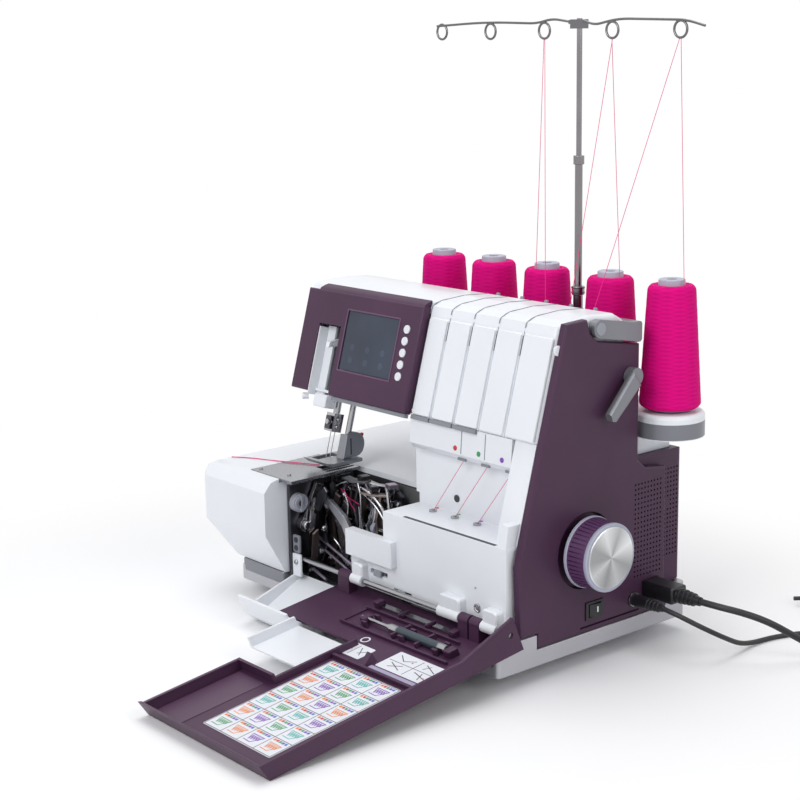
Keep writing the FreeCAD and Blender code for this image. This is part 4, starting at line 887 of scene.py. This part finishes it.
ARMS = [
    (-286, [(48, 60), (54, 58), (60, 80), (58, 100), (52, 106), (48, 102), (52, 82)],
     3.0, "dark_steel"),
    (-276, [(49, 30), (56, 28), (62, 52), (58, 74), (64, 96), (58, 100), (51, 76), (55, 54)],
     3.0, "bright_steel"),
    (-268, [(60, 24), (67, 24), (70, 60), (66, 92), (70, 106), (63, 108), (59, 90), (63, 58)],
     2.5, "lever_bronze"),
    (-259, [(48, 52), (53, 48), (66, 84), (72, 104), (66, 108), (60, 88)], 3.0, "bright_steel"),
    (-249, [(50, 30), (56, 28), (60, 60), (54, 88), (60, 108), (54, 110), (48, 88), (54, 58)],
     2.5, "dark_steel"),
    (-241, [(58, 36), (66, 34), (72, 64), (68, 92), (62, 92), (64, 64)], 3.0, "bar_lilac"),
    (-233, [(49, 64), (54, 60), (64, 80), (74, 104), (68, 108), (58, 86)], 2.5, "bright_steel"),
    (-223, [(52, 34), (60, 32), (64, 54), (60, 78), (66, 100), (60, 104), (53, 80), (56, 54)],
     3.0, "lever_bronze"),
    (-213, [(50, 48), (56, 46), (70, 82), (74, 108), (68, 108), (62, 84)], 3.0, "dark_steel"),
]
FRONT_ARMS = [
    (-284, [(20, 22), (28, 20), (29.4, 40), (26, 60), (29, 78), (24, 82), (20, 62), (22, 42)],
     2.6, "bright_steel"),
    (-279.6, [(19.5, 34), (24, 30), (29, 52), (28, 64), (22, 60)], 2.2, "lever_bronze"),
    (-295.4, [(46.6, 22), (56, 20), (60, 46), (54, 74), (58, 98), (50, 104), (46.8, 76), (51, 48)],
     2.6, "dark_steel"),
]
for kind, arms in (("arm", ARMS), ("front_arm", FRONT_ARMS)):
    for i, (x, outline, thickness, material) in enumerate(arms, start=1):
        plate(f"chamber_{kind}_{i}", outline, on_side(x), thickness, material,
              edge=0.5)
LINKS = [
    (39.5, [(-293, 30), (-286, 28), (-276, 50), (-279, 72), (-270, 92), (-276, 96), (-286, 74),
            (-283, 52)], "bright_steel"),
    (50.0, [(-292, 24), (-284, 22), (-276, 44), (-280, 66), (-268, 94), (-275, 97), (-288, 68),
            (-283, 46)], "lever_bronze"),
    (50.0, [(-272, 30), (-264, 28), (-258, 48), (-264, 70), (-256, 88), (-262, 92), (-271, 70),
            (-265, 50)], "dark_steel"),
    (29.6, [(-283, 84), (-276, 82), (-262, 104), (-266, 108), (-276, 100)], "dark_steel"),
]
for i, (depth, outline, material) in enumerate(LINKS, start=1):
    plate(f"chamber_link_{i}", outline, on_panel(depth), 2.4, material, edge=0.5)
print("levers, arms and links", len(LEVERS) + len(ARMS) + len(FRONT_ARMS) + len(LINKS))

# %% [markdown]
# Shafts run across the chamber and carry collars; bars, bolts and small decks sit round them.
# A shaft or a collar is a profile turned about a level axis, and a deck is a plate that lies flat.

# %% Looper chamber shafts and decks
BARS = [((-293, 38.2, 52), (-234, 38.2, 33), 1.4), ((-293, 38.2, 44), (-236, 38.2, 25), 1.3),
        ((-288, 24, 26), (-262, 24, 18), 1.6)]
for i, (start, end, radius) in enumerate(BARS, start=1):
    wire(f"chamber_bar_{i}", [start, end], radius, "bar_lilac", samples=8, sides=16)
BOLTS = [(-287, 37.0, 38, 3.4), (-281, 37.0, 62, 3.0), (-273, 37.0, 91, 2.6), (-266, 47.5, 58, 3),
         (-285, 47.5, 30, 3.2)]
for i, (x, y, z, radius) in enumerate(BOLTS, start=1):
    screw(f"chamber_bolt_{i}", (x, y, z), FORWARD, radius)
SHAFT_LEFT, SHAFT_LONG = -294, 88
SHAFTS = [(57, 70, 2.4), (65, 98, 2.2), (54, 42, 3.0), (73, 80, 2.6)]
for i, (y, z, radius) in enumerate(SHAFTS, start=1):
    profile = [(0, 0), (0, radius), (SHAFT_LONG, radius), (SHAFT_LONG, 0)]
    turned(f"chamber_shaft_{i}", profile, (SHAFT_LEFT, y, z), RIGHTWARD, "bright_steel", steps=24)
COLLARS = [(-272, 1, 5.2), (-255, 1, 4.8), (-229, 1, 5.2), (-282, 2, 4.4), (-246, 2, 4.6),
           (-238, 3, 5.6), (-264, 3, 5.0), (-219, 2, 4.4), (-236, 4, 5.2)]
for i, (x, shaft, radius) in enumerate(COLLARS, start=1):
    y, z, _ = SHAFTS[shaft - 1]
    profile = [(0, 2.0), (0, radius - 0.5), (0.5, radius), (4.5, radius), (5, radius - 0.5),
               (5, 2.0)]
    turned(f"chamber_collar_{i}", profile, (x, y, z), RIGHTWARD,
           "rim_pale" if i % 3 == 0 else "dark_steel", steps=28)
DECKS = [
    ([(-268, 50), (-254, 48), (-238, 56), (-240, 64), (-258, 58), (-268, 60)],
     111, 2.0, "dark_steel"),
    ([(-262, 66), (-232, 62), (-214, 70), (-216, 76), (-236, 70), (-262, 74)],
     107, 2.5, "bright_steel"),
    ([(-238, 48), (-222, 50), (-208, 60), (-212, 66), (-226, 58), (-240, 55)],
     103, 2.0, "lever_bronze"),
    ([(-256, 60), (-247, 59), (-245, 68), (-254, 70)], 112, 3.6, "black_plastic"),
    ([(-233, 54), (-226, 53), (-224, 60), (-231, 62)], 106, 5.0, "dark_steel"),
    ([(-222, 66), (-213, 64), (-210, 72), (-219, 75)], 109, 4.0, "bar_lilac"),
]
for i, (outline, height, thickness, material) in enumerate(DECKS, start=1):
    plate(f"chamber_deck_{i}", outline, on_top(height), thickness, material, edge=0.6)
# A near-black sheet on the chamber's left wall: painted shade.
plate("chamber_shade_left", [(36, 13), (86, 13), (86, 111), (36, 111)], on_side(-295.9), 0.6,
      "chamber_painted_shade")
plate("chamber_right", [(-226, 58), (-186, 58), (-186, 110), (-226, 110)], on_panel(81.1), 0.5,
      "cast_grey")
print("shafts, collars and decks", len(SHAFTS) + len(COLLARS) + len(DECKS))

# %% [markdown]
# Air tubes bend through the chamber to the loopers, and a spring stands at the left. They are
# wires along smooth paths. A near-black sheet behind them is painted shade for the depths of the
# chamber.

# %% Looper chamber tubes and lining
PIVOTS = [(-275, 62, 92, 3.6), (-283, 62, 30, 3.2), (-257, 70, 60, 4.2), (-250, 70, 98, 3),
          (-242, 58, 26, 3.4), (-231, 66, 78, 4.6), (-231, 58, 60, 3), (-214, 56, 31, 3),
          (-209, 74, 94, 3.4), (-262, 56, 27, 3.4)]
PIVOT_PROUD = 3.6
for i, (x, y, z, radius) in enumerate(PIVOTS, start=1):
    screw(f"chamber_screw_{i}", (x, y - PIVOT_PROUD, z), FORWARD, radius)
TUBES = [
    ([(-206, 54, 84), (-214, 52, 97), (-232, 52, 106), (-252, 54, 107), (-262, 56, 104)], 1.5),
    ([(-206, 56, 74), (-220, 55, 90), (-236, 55, 99), (-256, 57, 101), (-268, 60, 98)], 1.3),
    ([(-211, 60, 108), (-208, 60, 84), (-204, 58, 58), (-203, 58, 34)], 2.2),
    ([(-217, 64, 109), (-214, 64, 84), (-211, 63, 58), (-210, 62, 34)], 2.0),
    ([(-228, 53, 84), (-233, 51, 66), (-229, 51, 48), (-236, 53, 34)], 0.9),
    ([(-246, 53, 88), (-243, 52, 70), (-247, 52, 54), (-243, 54, 40), (-250, 56, 30)], 0.9),
    ([(-284, 52, 60), (-279, 50, 74), (-280, 50, 88), (-276, 52, 98)], 1.0),
    ([(-290, 48, 46), (-283, 47, 52), (-273, 48, 46), (-268, 50, 38)], 1.1),
    ([(-230, 50.5, 115), (-230, 55, 104), (-230, 61, 90), (-230, 57, 70)], 2.5),
    ([(-243, 50, 112), (-238, 49, 100), (-239, 50, 78), (-236, 51, 62), (-230, 52, 54)], 0.9),
    ([(-262, 49, 100), (-256, 48, 84), (-262, 48, 66), (-257, 49, 52)], 0.8),
    ([(-274, 48, 104), (-266, 50, 108), (-252, 54, 112), (-244, 58, 110)], 0.8),
]
for i, (points, radius) in enumerate(TUBES, start=1):
    wire(f"chamber_tube_{i}", points, radius, "bright_steel", samples=40, sides=12)
turn = np.linspace(0, 7, 120)
spring = np.stack([-277 + 3 * np.cos(2 * math.pi * turn), 57 + 3 * np.sin(2 * math.pi * turn),
                   36 + 3.4 * turn], -1)
wire("chamber_spring", spring, 0.5, "steel", samples=240, sides=6)
plate("chamber_back", [(-296, 13), (-172.5, 13), (-172.5, 33), (-296, 33)], on_panel(85.5), 1.0,
      "black_plastic")
plate("chamber_floor", [(-291.5, 36), (-172.5, 36), (-172.5, 84), (-291.5, 84)], on_top(14.1), 0.8,
      "black_plastic")
# A near-black sheet at the back of the chamber: painted shade for its depths.
plate("chamber_shade_back", [(-296, 33), (-172.5, 33), (-172.5, 111), (-296, 111)], on_panel(82.0), 0.8,
      "chamber_painted_shade")
LOOPER_THREADS = [[(-262, 48, 103), (-252, 47, 92), (-243, 46.5, 85)],
                  [(-268, 49, 102), (-255, 48, 96), (-240, 49, 92)]]
for i, points in enumerate(LOOPER_THREADS, start=1):
    wire(f"chamber_thread_{i}", points, 0.25, "thread_pink", samples=16, sides=6)
print("tubes and pivots", len(TUBES) + len(PIVOTS))

# %% [markdown]
# At the chamber's left front stand two small panels: one for the width dial's buttons, and a
# white guard with a screw. The dial has a pale ring and the knife a broad screw, each of which
# turns or moves with its own body.

# %% Dial panel and guard
plate("dial_panel", rounded(-291.6, -281.5, 43, 60, 1.2), on_panel(10.0), 2.0, "strip_grey")
for i, z in enumerate((55.5, 47.5), start=1):
    plate(f"dial_panel_button_{i}", disc(-286.6, z, 2.7), on_panel(8.0), 0.7, "mark_dark")
plate("guard_panel", rounded(-291.6, -279.5, 20, 42, 1.2), on_panel(9.0), 2.0, "white_plastic")
screw("guard_screw", (-285.5, 7.0, 34), FORWARD, 2.4)
turned("dial_ring", [(0, 5.4), (0, 7.4), (0.7, 7.2), (0.7, 5.6)], (-284.6, 14, 91), RIGHTWARD,
       "rim_pale", "width_dial")
screw("knife_screw", (-285.7, 20, 68), RIGHTWARD, 4.2, "upper_knife")

# %% [markdown]
# The door's inner face serves as the manual: a printed chart of stitches with colour squares for
# the threads, a small card of drawings and a lilac strip. The prints are bare line drawings, so
# each colour is one mesh of many thin plates on a white card.

# %% Door cards
DOOR_FACE = inside_door(3.0)
CHART = (-110.0, -20.0, 140.0, 269.0)
CARDS = [("chart_card", CHART), ("drawing_card", (-74.0, -10.0, 95.0, 124.0)),
         ("hint_card", (-128.0, -94.0, 106.0, 126.0))]
for name, box in CARDS:
    plate(name, rounded(*box, 1.5), DOOR_FACE, 0.2, "label_white", "door", edge=0.05)
plate("lilac_strip", rounded(-76, -10, 125.4, 132.4, 0.8), DOOR_FACE, 0.2, "label_lilac", "door",
      edge=0.05)
plate("door_field", rounded(-160, -124, 199, 281, 2.0), DOOR_FACE, 0.5, "plum_field", "door",
      edge=0.3)
turn = np.linspace(0, 2 * math.pi, 33)
ring = np.stack([-118 + 4.0 * np.cos(turn), 98.5 + 4.0 * np.sin(turn)], -1)
prints("door_disc", strokes(np.concatenate([ring[:-1], ring[1:]], 1), 1.4), DOOR_FACE, 0.2,
       "label_white", "door")
print("cards", len(CARDS))

# %% [markdown]
# The chart has six rows of four cells. A cell shows a seam as a zigzag of stitches with the
# edge of the cloth, and a row of colour squares that names its threads. One figure is drawn
# once and repeated at each cell's corner.

# %% Stitch chart
PRINT_FACE = inside_door(3.22)
ROWS, COLUMNS, MARGIN = 6, 4, 1
SQUARE, SQUARE_STEP = 2.6, 3.5
left, right, low, high = (CHART[0] + MARGIN, CHART[1] - MARGIN, CHART[2] + MARGIN,
                          CHART[3] - MARGIN)
cell_u, cell_v = (right - left) / COLUMNS, (high - low) / ROWS
column, row = np.meshgrid(np.arange(COLUMNS), np.arange(ROWS))
cell = np.stack([left + column.ravel() * cell_u, low + row.ravel() * cell_v], -1)
frame_lines = [(left, low + r * cell_v, right, low + r * cell_v) for r in range(ROWS + 1)]
frame_lines += [(left + c * cell_u, low, left + c * cell_u, high) for c in range(COLUMNS + 1)]
frame_lines += [(-72, 109.5, -12, 109.5), (-42, 97, -42, 122), (-111, 108, -111, 124)]
prints("chart_lines", strokes(frame_lines, 0.6), PRINT_FACE, 0.05, "mark_dark", "door")
for i, ink in enumerate(("orange", "red", "green", "violet", "blue")):
    u, v = (cell + [2.2 + SQUARE_STEP * i, 1.2]).T
    prints(f"chart_squares_{i + 1}", blocks(np.column_stack([u, u + SQUARE, v, v + SQUARE])),
           PRINT_FACE, 0.06, f"mark_{ink}", "door")
STITCHES = ["teal", "orange", "green", "violet"]
step = np.arange(5)
zigzag = np.stack([4 + 2.4 * step, np.full(5, 8.0), 6.4 + 2.4 * step,
                   8 + 6.5 * (1 - step * 0.08)], -1)
back = np.stack([zigzag[:, 2], zigzag[:, 3], zigzag[:, 0] + 2.4, zigzag[:, 1]], -1)
figure = np.concatenate([zigzag, back, [(3, 7, 18, 7), (18, 7, 12, 17), (3, 16.5, 12, 17)]])
for i, ink in enumerate(STITCHES):
    mine = cell[(np.arange(len(cell)) * 7 // 3) % len(STITCHES) == i]
    lines = (figure.reshape(1, -1, 2, 2) + mine[:, None, None, :]).reshape(-1, 4)
    prints(f"chart_stitches_{i + 1}", strokes(lines, 0.8), PRINT_FACE, 0.06, f"mark_{ink}", "door")
SKETCHES = [
    (-68, 99, -58, 106), (-58, 106, -48, 100), (-66, 112, -50, 119), (-64, 119, -52, 112),
    (-36, 99, -20, 106), (-34, 106, -30, 99), (-36, 113, -18, 118), (-28, 111.5, -24, 121),
    (-124, 110, -116, 121), (-120, 112, -114, 116), (-107, 110, -99, 121), (-104, 119, -97, 113),
]
POINTS = [(-50, -48.4, 103, 104.6), (-22, -20.4, 116, 117.6), (-117, -115.4, 117, 118.6)]
prints("drawing_lines", strokes(SKETCHES, 0.8), PRINT_FACE, 0.05, "mark_dark", "door")
prints("drawing_points", blocks(POINTS), PRINT_FACE, 0.07, "mark_red", "door")
print("chart cells", len(cell))

# %% [markdown]
# Two tools clip into the door: a screwdriver with a smooth dark handle and a pair of tweezers.
# The handle swells a little in its middle, so its profile follows a sine. Small plum clips and
# ribs stand up from the door and hold the tools.

# %% Door tools
HANDLE_LONG, HANDLE_RADIUS, HANDLE_SWELL = 72.6, 3.5, 0.55
rise = np.linspace(0, 1, 30)
swell = HANDLE_RADIUS + HANDLE_SWELL * np.sin(math.pi * np.clip(rise, 0, 1)) ** 0.3
turned("driver_handle", [(0, 0), *zip(HANDLE_LONG * rise, swell), (HANDLE_LONG, 0)],
       on_door(-110.2, 7.2, 74.5), RIGHTWARD, "slate_plastic", "door", steps=24)
turned("driver_collar", [(0, 1.65), (0, 2.6), (4, 2.9), (4, 1.65)], on_door(-114, 7.2, 74.5),
       RIGHTWARD, "steel", "door", steps=24)
CLIPS = [
    (-148, -141, 69.5, 79.5, 6.0), (-37.4, -29, 69.5, 80, 6.5), (-163, -156, 43, 52, 6.5),
    (-62, -55, 43, 52, 5.5), (-101, -98.4, 61, 84, 5.0), (-70, -67.4, 61, 84, 5.0),
    (-166, -42, 57, 58.6, 3.4), (-166, -24, 87, 88.8, 3.0), (-166, -164, 57, 88, 1.4),
    (-126, -123.6, 43, 55, 4.6), (-90, -87.6, 43, 55, 4.6),
]
for i, (*box, height) in enumerate(CLIPS, start=1):
    plate(f"door_clip_{i}", rounded(*box, 0.6), DOOR_FACE, height, "plum_plastic", "door", edge=0.4)
print("clips", len(CLIPS))

# %% [markdown]
# The hand wheel is a knurled plum ring between two pale rims, with a spun cap. The cap carries a
# painted sheen: fans of painted highlight about its centre, a tone that follows the angle about the
# wheel's axis.

# %% Hand wheel
WHEEL = np.array([0.0, 104.5, 90.0])
# Painted sheen: bright and dark stops of the cap's colour round its axis stand for spun highlights.
SHEEN_FANS = [(0.0, 0.50), (0.08, 0.86), (0.2, 0.46), (0.3, 0.80), (0.42, 0.50), (0.56, 0.92),
        (0.68, 0.48), (0.8, 0.84), (0.92, 0.46), (1.0, 0.50)]


def painted_sheen_finish():
    """Metal with a painted sheen: bright and dark fans of colour, a ramp of the angle about the
    wheel's axis.
    """
    tree = finish("spun_painted_sheen", (0.72, 0.73, 0.75), rough=0.3, metallic=0.9, grain=900,
                  relief=0.02).node_tree
    where = add_node(tree, "TexCoord").outputs["Object"]
    centred = add_node(tree, "VectorMath", {0: where, 1: spot(WHEEL)}, operation="SUBTRACT")
    parts = add_node(tree, "SeparateXYZ", {0: centred.outputs[0]}).outputs
    flat = add_node(tree, "CombineXYZ", {"X": parts["Y"], "Y": parts["Z"]}).outputs[0]
    sheen_fan = add_node(tree, "TexGradient", {"Vector": flat}, gradient_type="RADIAL")
    tone = add_node(tree, "ValToRGB", {"Fac": sheen_fan.outputs["Fac"]})
    stops = tone.color_ramp.elements
    while len(stops) < len(SHEEN_FANS):
        stops.new(0.5)
    for stop, (position, light) in zip(stops, SHEEN_FANS):
        stop.position = position
        stop.color = (light, light * 1.01, light * 1.03, 1)
    feed(tree, tree.nodes["Principled BSDF"], {"Base Color": tone.outputs["Color"]})


painted_sheen_finish()
# The cap takes the painted sheen, fixed fans of light and shade in its colour.
repaint(frame["nodes"]["wheel_cap"], "spun_painted_sheen")
repaint(frame["nodes"]["hand_wheel"], "plum_grip")
OUTER_RIM = [(0, 26.6), (0, 29.7), (1.0, 30.1), (3.0, 29.9), (3.6, 29.2), (3.6, 26.9), (2.0, 26.9)]
INNER_RIM = [(0, 28.0), (0, 31.2), (0.6, 31.7), (2.6, 31.5), (3.2, 31.0), (3.2, 28.0)]
WELL = [(0, 14.6), (0, 33.8), (0.6, 33.8), (0.6, 14.6)]
turned("wheel_rim_outer", OUTER_RIM, WHEEL + [25.2, 0, 0], RIGHTWARD, "rim_pale", "hand_wheel",
       steps=96)
turned("wheel_rim_inner", INNER_RIM, WHEEL + [3.7, 0, 0], RIGHTWARD, "rim_pale", "hand_wheel",
       steps=96)
turned("wheel_well", WELL, WHEEL + [-6.4, 0, 0], RIGHTWARD, "plum_plastic", steps=64)
print("wheel centre", spot(WHEEL).round(4).tolist())

# %% [markdown]
# The stand's tray is white on top with a silver band round its edge. The band is painted, so
# the finish changes with height on the one moulding. The handle and the base are painted silver
# too, the base a lighter shade, and a white pedestal carries the tray's right end.

# %% Stand
TRAY_BAND = (176.6, 190.5)


def banded_finish():
    """White plastic that turns to silver paint between two heights."""
    tree = finish("tray_band", (0.78, 0.80, 0.84), rough=0.32, vary=0.015, relief=0.02).node_tree
    shader = tree.nodes["Principled BSDF"]
    white = shader.inputs["Base Color"].links[0].from_socket
    where = add_node(tree, "TexCoord").outputs["Object"]
    height = add_node(tree, "SeparateXYZ", {0: where}).outputs["Z"]
    low, high = (spot((0, 0, z))[2] for z in TRAY_BAND)
    band = reckon(tree, "MULTIPLY", reckon(tree, "GREATER_THAN", height, low),
                  reckon(tree, "LESS_THAN", height, high))
    paint = add_node(tree, "Mix", {"Factor": band, "A": white, "B": (0.19, 0.195, 0.22, 1)},
                     data_type="RGBA")
    feed(tree, shader, {"Base Color": paint.outputs["Result"]})


banded_finish()
repaint(soft["spool_tray"], "tray_band")
repaint(soft["carry_handle"], "silver_paint")
repaint(soft["base_tray"], "base_silver")
plate("pedestal_end", rounded(-56, -14, 184, 229, 3.0), on_top(158.2), 18.4, "white_plastic",
      edge=0.8)
turned("handle_button", [(0, 0), (0, 5.6), (0.7, 5.4), (1.0, 4.6), (1.0, 0)], (1.9, 119, 281),
       RIGHTWARD, "grey_plastic", "carry_handle", steps=32)
plate("base_deck", rounded(-366.5, -298.5, 0.6, 31, 3.5), on_top(10.0), 11.4, "silver_paint",
      edge=0.8)
print("tray band", TRAY_BAND)

# %% [markdown]
# On the right side a tab and a cap close two openings, a strip of painted shade in darkened plum
# stands for the groove at the joint of the covers, and the rocker switch has a white mark on its
# raised half. In front, three housings hold the door's hinge. All are thin plates on their own
# faces.

# %% Right side and hinge
ROCKER_X, ROCKER_Y, ROCKER_RUN = 2.4, 115.2, 6.5
HOUSINGS = [(-205, -190), (-85, -58), (-30, -12)]
plate("cover_tab", disc(73.2, 268, 4.4), on_side(-4.4), 1.4, "white_plastic", edge=0.4)
for i, (start, end) in enumerate(HOUSINGS, start=1):
    plate(f"hinge_housing_{i}", rounded(start + 0.2, end - 0.2, 36, 53, 3.0), on_panel(18.2), 8.6,
          "white_plastic", edge=1.6)
plate("service_cap", disc(214, 108, 6.0), on_side(-8.0), 0.5, "plum_plastic", edge=0.3)
# Painted shade: a dark plum strip where the groove between the covers lies.
prints("side_groove_shade", blocks([(98, 173, 19.8, 21.4)]), on_side(-0.1), 0.2, "groove_painted_shade")


def on_rocker(u, v, h):
    """Point on the rocker's raised half, which slopes up to the back."""
    return np.stack([ROCKER_X + (u - ROCKER_Y) / ROCKER_RUN + h, u, v], -1)


prints("rocker_mark", blocks([(116.6, 117.8, 32.2, 37.2)]), on_rocker, 0.12, "white_plastic",
       "rocker")
print("hinge housings", len(HOUSINGS))

# %% [markdown]
# A plug's neck has moulded rings that let the lead bend gently, and the pedal's socket has a
# steel ring. The mast, its rings and the stitch plate are bare steel with its screws. These are
# short profiles turned about the plug, the mast or the screw.

# %% Plugs, mast and stitch plate
MAINS_RIBS = [(36, 6.7), (40.5, 6.3), (45, 5.8), (49.5, 5.4)]
FOOT_RIBS = [(21, 4.7), (25, 4.3), (29, 3.9)]


def neck_ribs(kind, ribs, bore, y, z):
    """Moulded rings round a plug's neck."""
    made = []
    for i, (x, radius) in enumerate(ribs, start=1):
        profile = [(0, bore), (0, radius), (0.8, radius + 0.5), (1.8, radius + 0.4), (2.2, radius),
                   (2.2, bore)]
        made.append(turned(f"{kind}_rib_{i}", profile, (x, y, z), RIGHTWARD, "black_plastic",
                           steps=32))
    return made


mains_ribs = neck_ribs("mains", MAINS_RIBS, 2.9, 188, 38.5)
foot_ribs = neck_ribs("foot", FOOT_RIBS, 2.2, 165.5, 31.6)
turned("pedal_ring", [(0, 5.4), (0, 6.6), (0.8, 6.4), (0.8, 5.6)], (0.9, 165.5, 31.6), RIGHTWARD,
       "steel", steps=32)
for piece in (soft["mast_tube"], soft["mast_middle"], frame["nodes"]["mast_top"]):
    repaint(piece, "mast_steel")
repaint(soft["stitch_plate"], "plate_steel")
for i, (x, y) in enumerate(((-337, 6), (-337, 66), (-300, 12)), start=1):
    screw(f"plate_screw_{i}", (x, y, 115.9), UPWARD, 1.9)
for i, z in enumerate((289.5, 294.0), start=1):
    turned(f"mast_ring_{i}", [(0, 5.9), (0, 6.3), (1.2, 6.3), (1.2, 5.9)], (-110, STAND_Y, z),
           UPWARD, "dark_steel", steps=32)
print("neck ribs", len(mains_ribs) + len(foot_ribs))

# %% [markdown]
# A hook-and-loop tie holds each coil. It is a strap bent round the bundle: the outline of the
# bundle's section, given a thickness and a width along the turns.

# %% Coil ties
TIE_HALF, TIE_THICK = 3.0, 1.0


def tie(name, centre, angle_degrees, reach, height):
    """Strap round a coil: rounded outline in the radial plane, four rings make its section."""
    angle = math.radians(angle_degrees)
    outward = np.array([math.cos(angle), math.sin(angle), 0.0])
    along = np.array([-math.sin(angle), math.cos(angle), 0.0])
    outer = rounded(reach[0] - TIE_THICK, reach[1] + TIE_THICK, 0.05, height + TIE_THICK, 2.2)
    inner = rounded(reach[0], reach[1], 0.65, height, 1.6)
    rings = [(outer, -TIE_HALF), (outer, TIE_HALF), (inner, TIE_HALF), (inner, -TIE_HALF)]
    foot_of_tie = np.array([*centre, FLOOR])
    verts = [foot_of_tie + outline[:, :1] * outward + outline[:, 1:] * UPWARD + shift * along
             for outline, shift in rings]
    return face_outwards(add_piece(name, np.concatenate(verts),
                                   grid_faces(4, len(outer), True, True), "black_cord"))


mains_tie = tie("mains_tie", MAINS_CENTRE, 60, (22.6, 49.3), 12.9)
foot_tie = tie("foot_tie", FOOT_CENTRE, 60, (14.2, 39.8), 9.9)

# %% [markdown]
# Three cones are threaded: each thread rises through a loop of the guide bar and comes down to
# the tower. The mast telescopes in two stages, so each thread is cut in two at a height between
# the stages: the lower half stays on the machine, and the upper half rides on the middle
# section.

# %% Threads on the stand
SPLIT = 400.0
STRANDS = [
    ("up_3", (-150, 193.6, 309.6), (-150.5, 204, 519.3)),
    ("down_3", (-95, 150.5, 290.6), (-149.5, 204, 519.3)),
    ("up_4", (-56, 205, 309.6), (-67.5, 204, 519.3)),
    ("down_4", (-64.2, 150.5, 290.6), (-66.5, 204, 519.3)),
    ("up_5", (16.5, 207, 309.6), (10.5, 204, 519.3)),
    ("down_5", (-35.4, 150.5, 290.6), (9.5, 204, 519.3)),
]


def strand(name, low, high, body):
    """Straight thread on a body, with a mesh of its own."""
    piece, path = taut_thread(name, [low, high], 0.26, body, samples=12)
    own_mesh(piece)


for name, low, high in STRANDS:
    low, high = np.array(low, float), np.array(high, float)
    middle = low + (high - low) * (SPLIT - low[2]) / (high[2] - low[2])
    strand(f"thread_{name}_lower", low, middle, "machine")
    strand(f"thread_{name}_upper", middle, high, "mast_middle")
print("threads", len(STRANDS))

# %% [markdown]
# When sewing stops, a chain of stitches hangs from the needle and lies loose over the bed. It is
# a thin cord along a gentle curve, made as the leads are.

# %% Chain tail
TAIL = [(-307.5, 55, 116.7), (-314, 52, 116.7), (-328, 45.5, 116.7), (-353, 32.4, 116.7),
        (-380, 22, 116.7), (-394, 11, 116.7)]
tail, tail_exit = cord("chain_tail", TAIL, 0.45, "thread_pink")
print("chain tail points", len(TAIL))

# %% [markdown]
# A product picture keeps a soft shadow under the object and no horizon. The floor is a plain
# pale sheet that fades with distance into the white of the backdrop, for the camera and for
# reflections only, so the light on the machine stays as it is.

# %% Floor
FADE_FROM, FADE_TO, FLOOR_REACH = 0.30, 0.62, 4.0


def floor_finish():
    """Pale floor that fades with distance from the machine into the white backdrop."""
    tree = finish("pale_floor", (0.93, 0.93, 0.94), rough=0.6, vary=0.004, relief=0.0).node_tree
    where = add_node(tree, "TexCoord").outputs["Object"]
    away = add_node(tree, "VectorMath", {0: where}, operation="LENGTH").outputs["Value"]
    fade = add_node(tree, "MapRange", {"Value": away, "From Min": FADE_FROM, "From Max": FADE_TO},
                    interpolation_type="SMOOTHSTEP").outputs["Result"]
    rays = add_node(tree, "LightPath").outputs
    seen = reckon(tree, "MAXIMUM", rays["Is Camera Ray"], rays["Is Glossy Ray"])
    blend = add_node(tree, "MixShader", {
        "Fac": reckon(tree, "MULTIPLY", fade, seen), 1: tree.nodes["Principled BSDF"].outputs[0],
        2: add_node(tree, "Emission").outputs[0]})
    feed(tree, tree.nodes["Material Output"], {"Surface": blend.outputs[0]})


floor_finish()
floor_mesh = bpy.data.meshes.new("floor")
floor_corners = [(-1, -1, 0), (1, -1, 0), (1, 1, 0), (-1, 1, 0)]
floor_mesh.from_pydata((np.array(floor_corners) * FLOOR_REACH).tolist(), [], [(0, 1, 2, 3)])
floor_mesh.materials.append(MATERIALS["pale_floor"])
floor = bpy.data.objects.new("floor", floor_mesh)
scene.collection.objects.link(floor)
print("floor", 2 * FLOOR_REACH, "m wide")
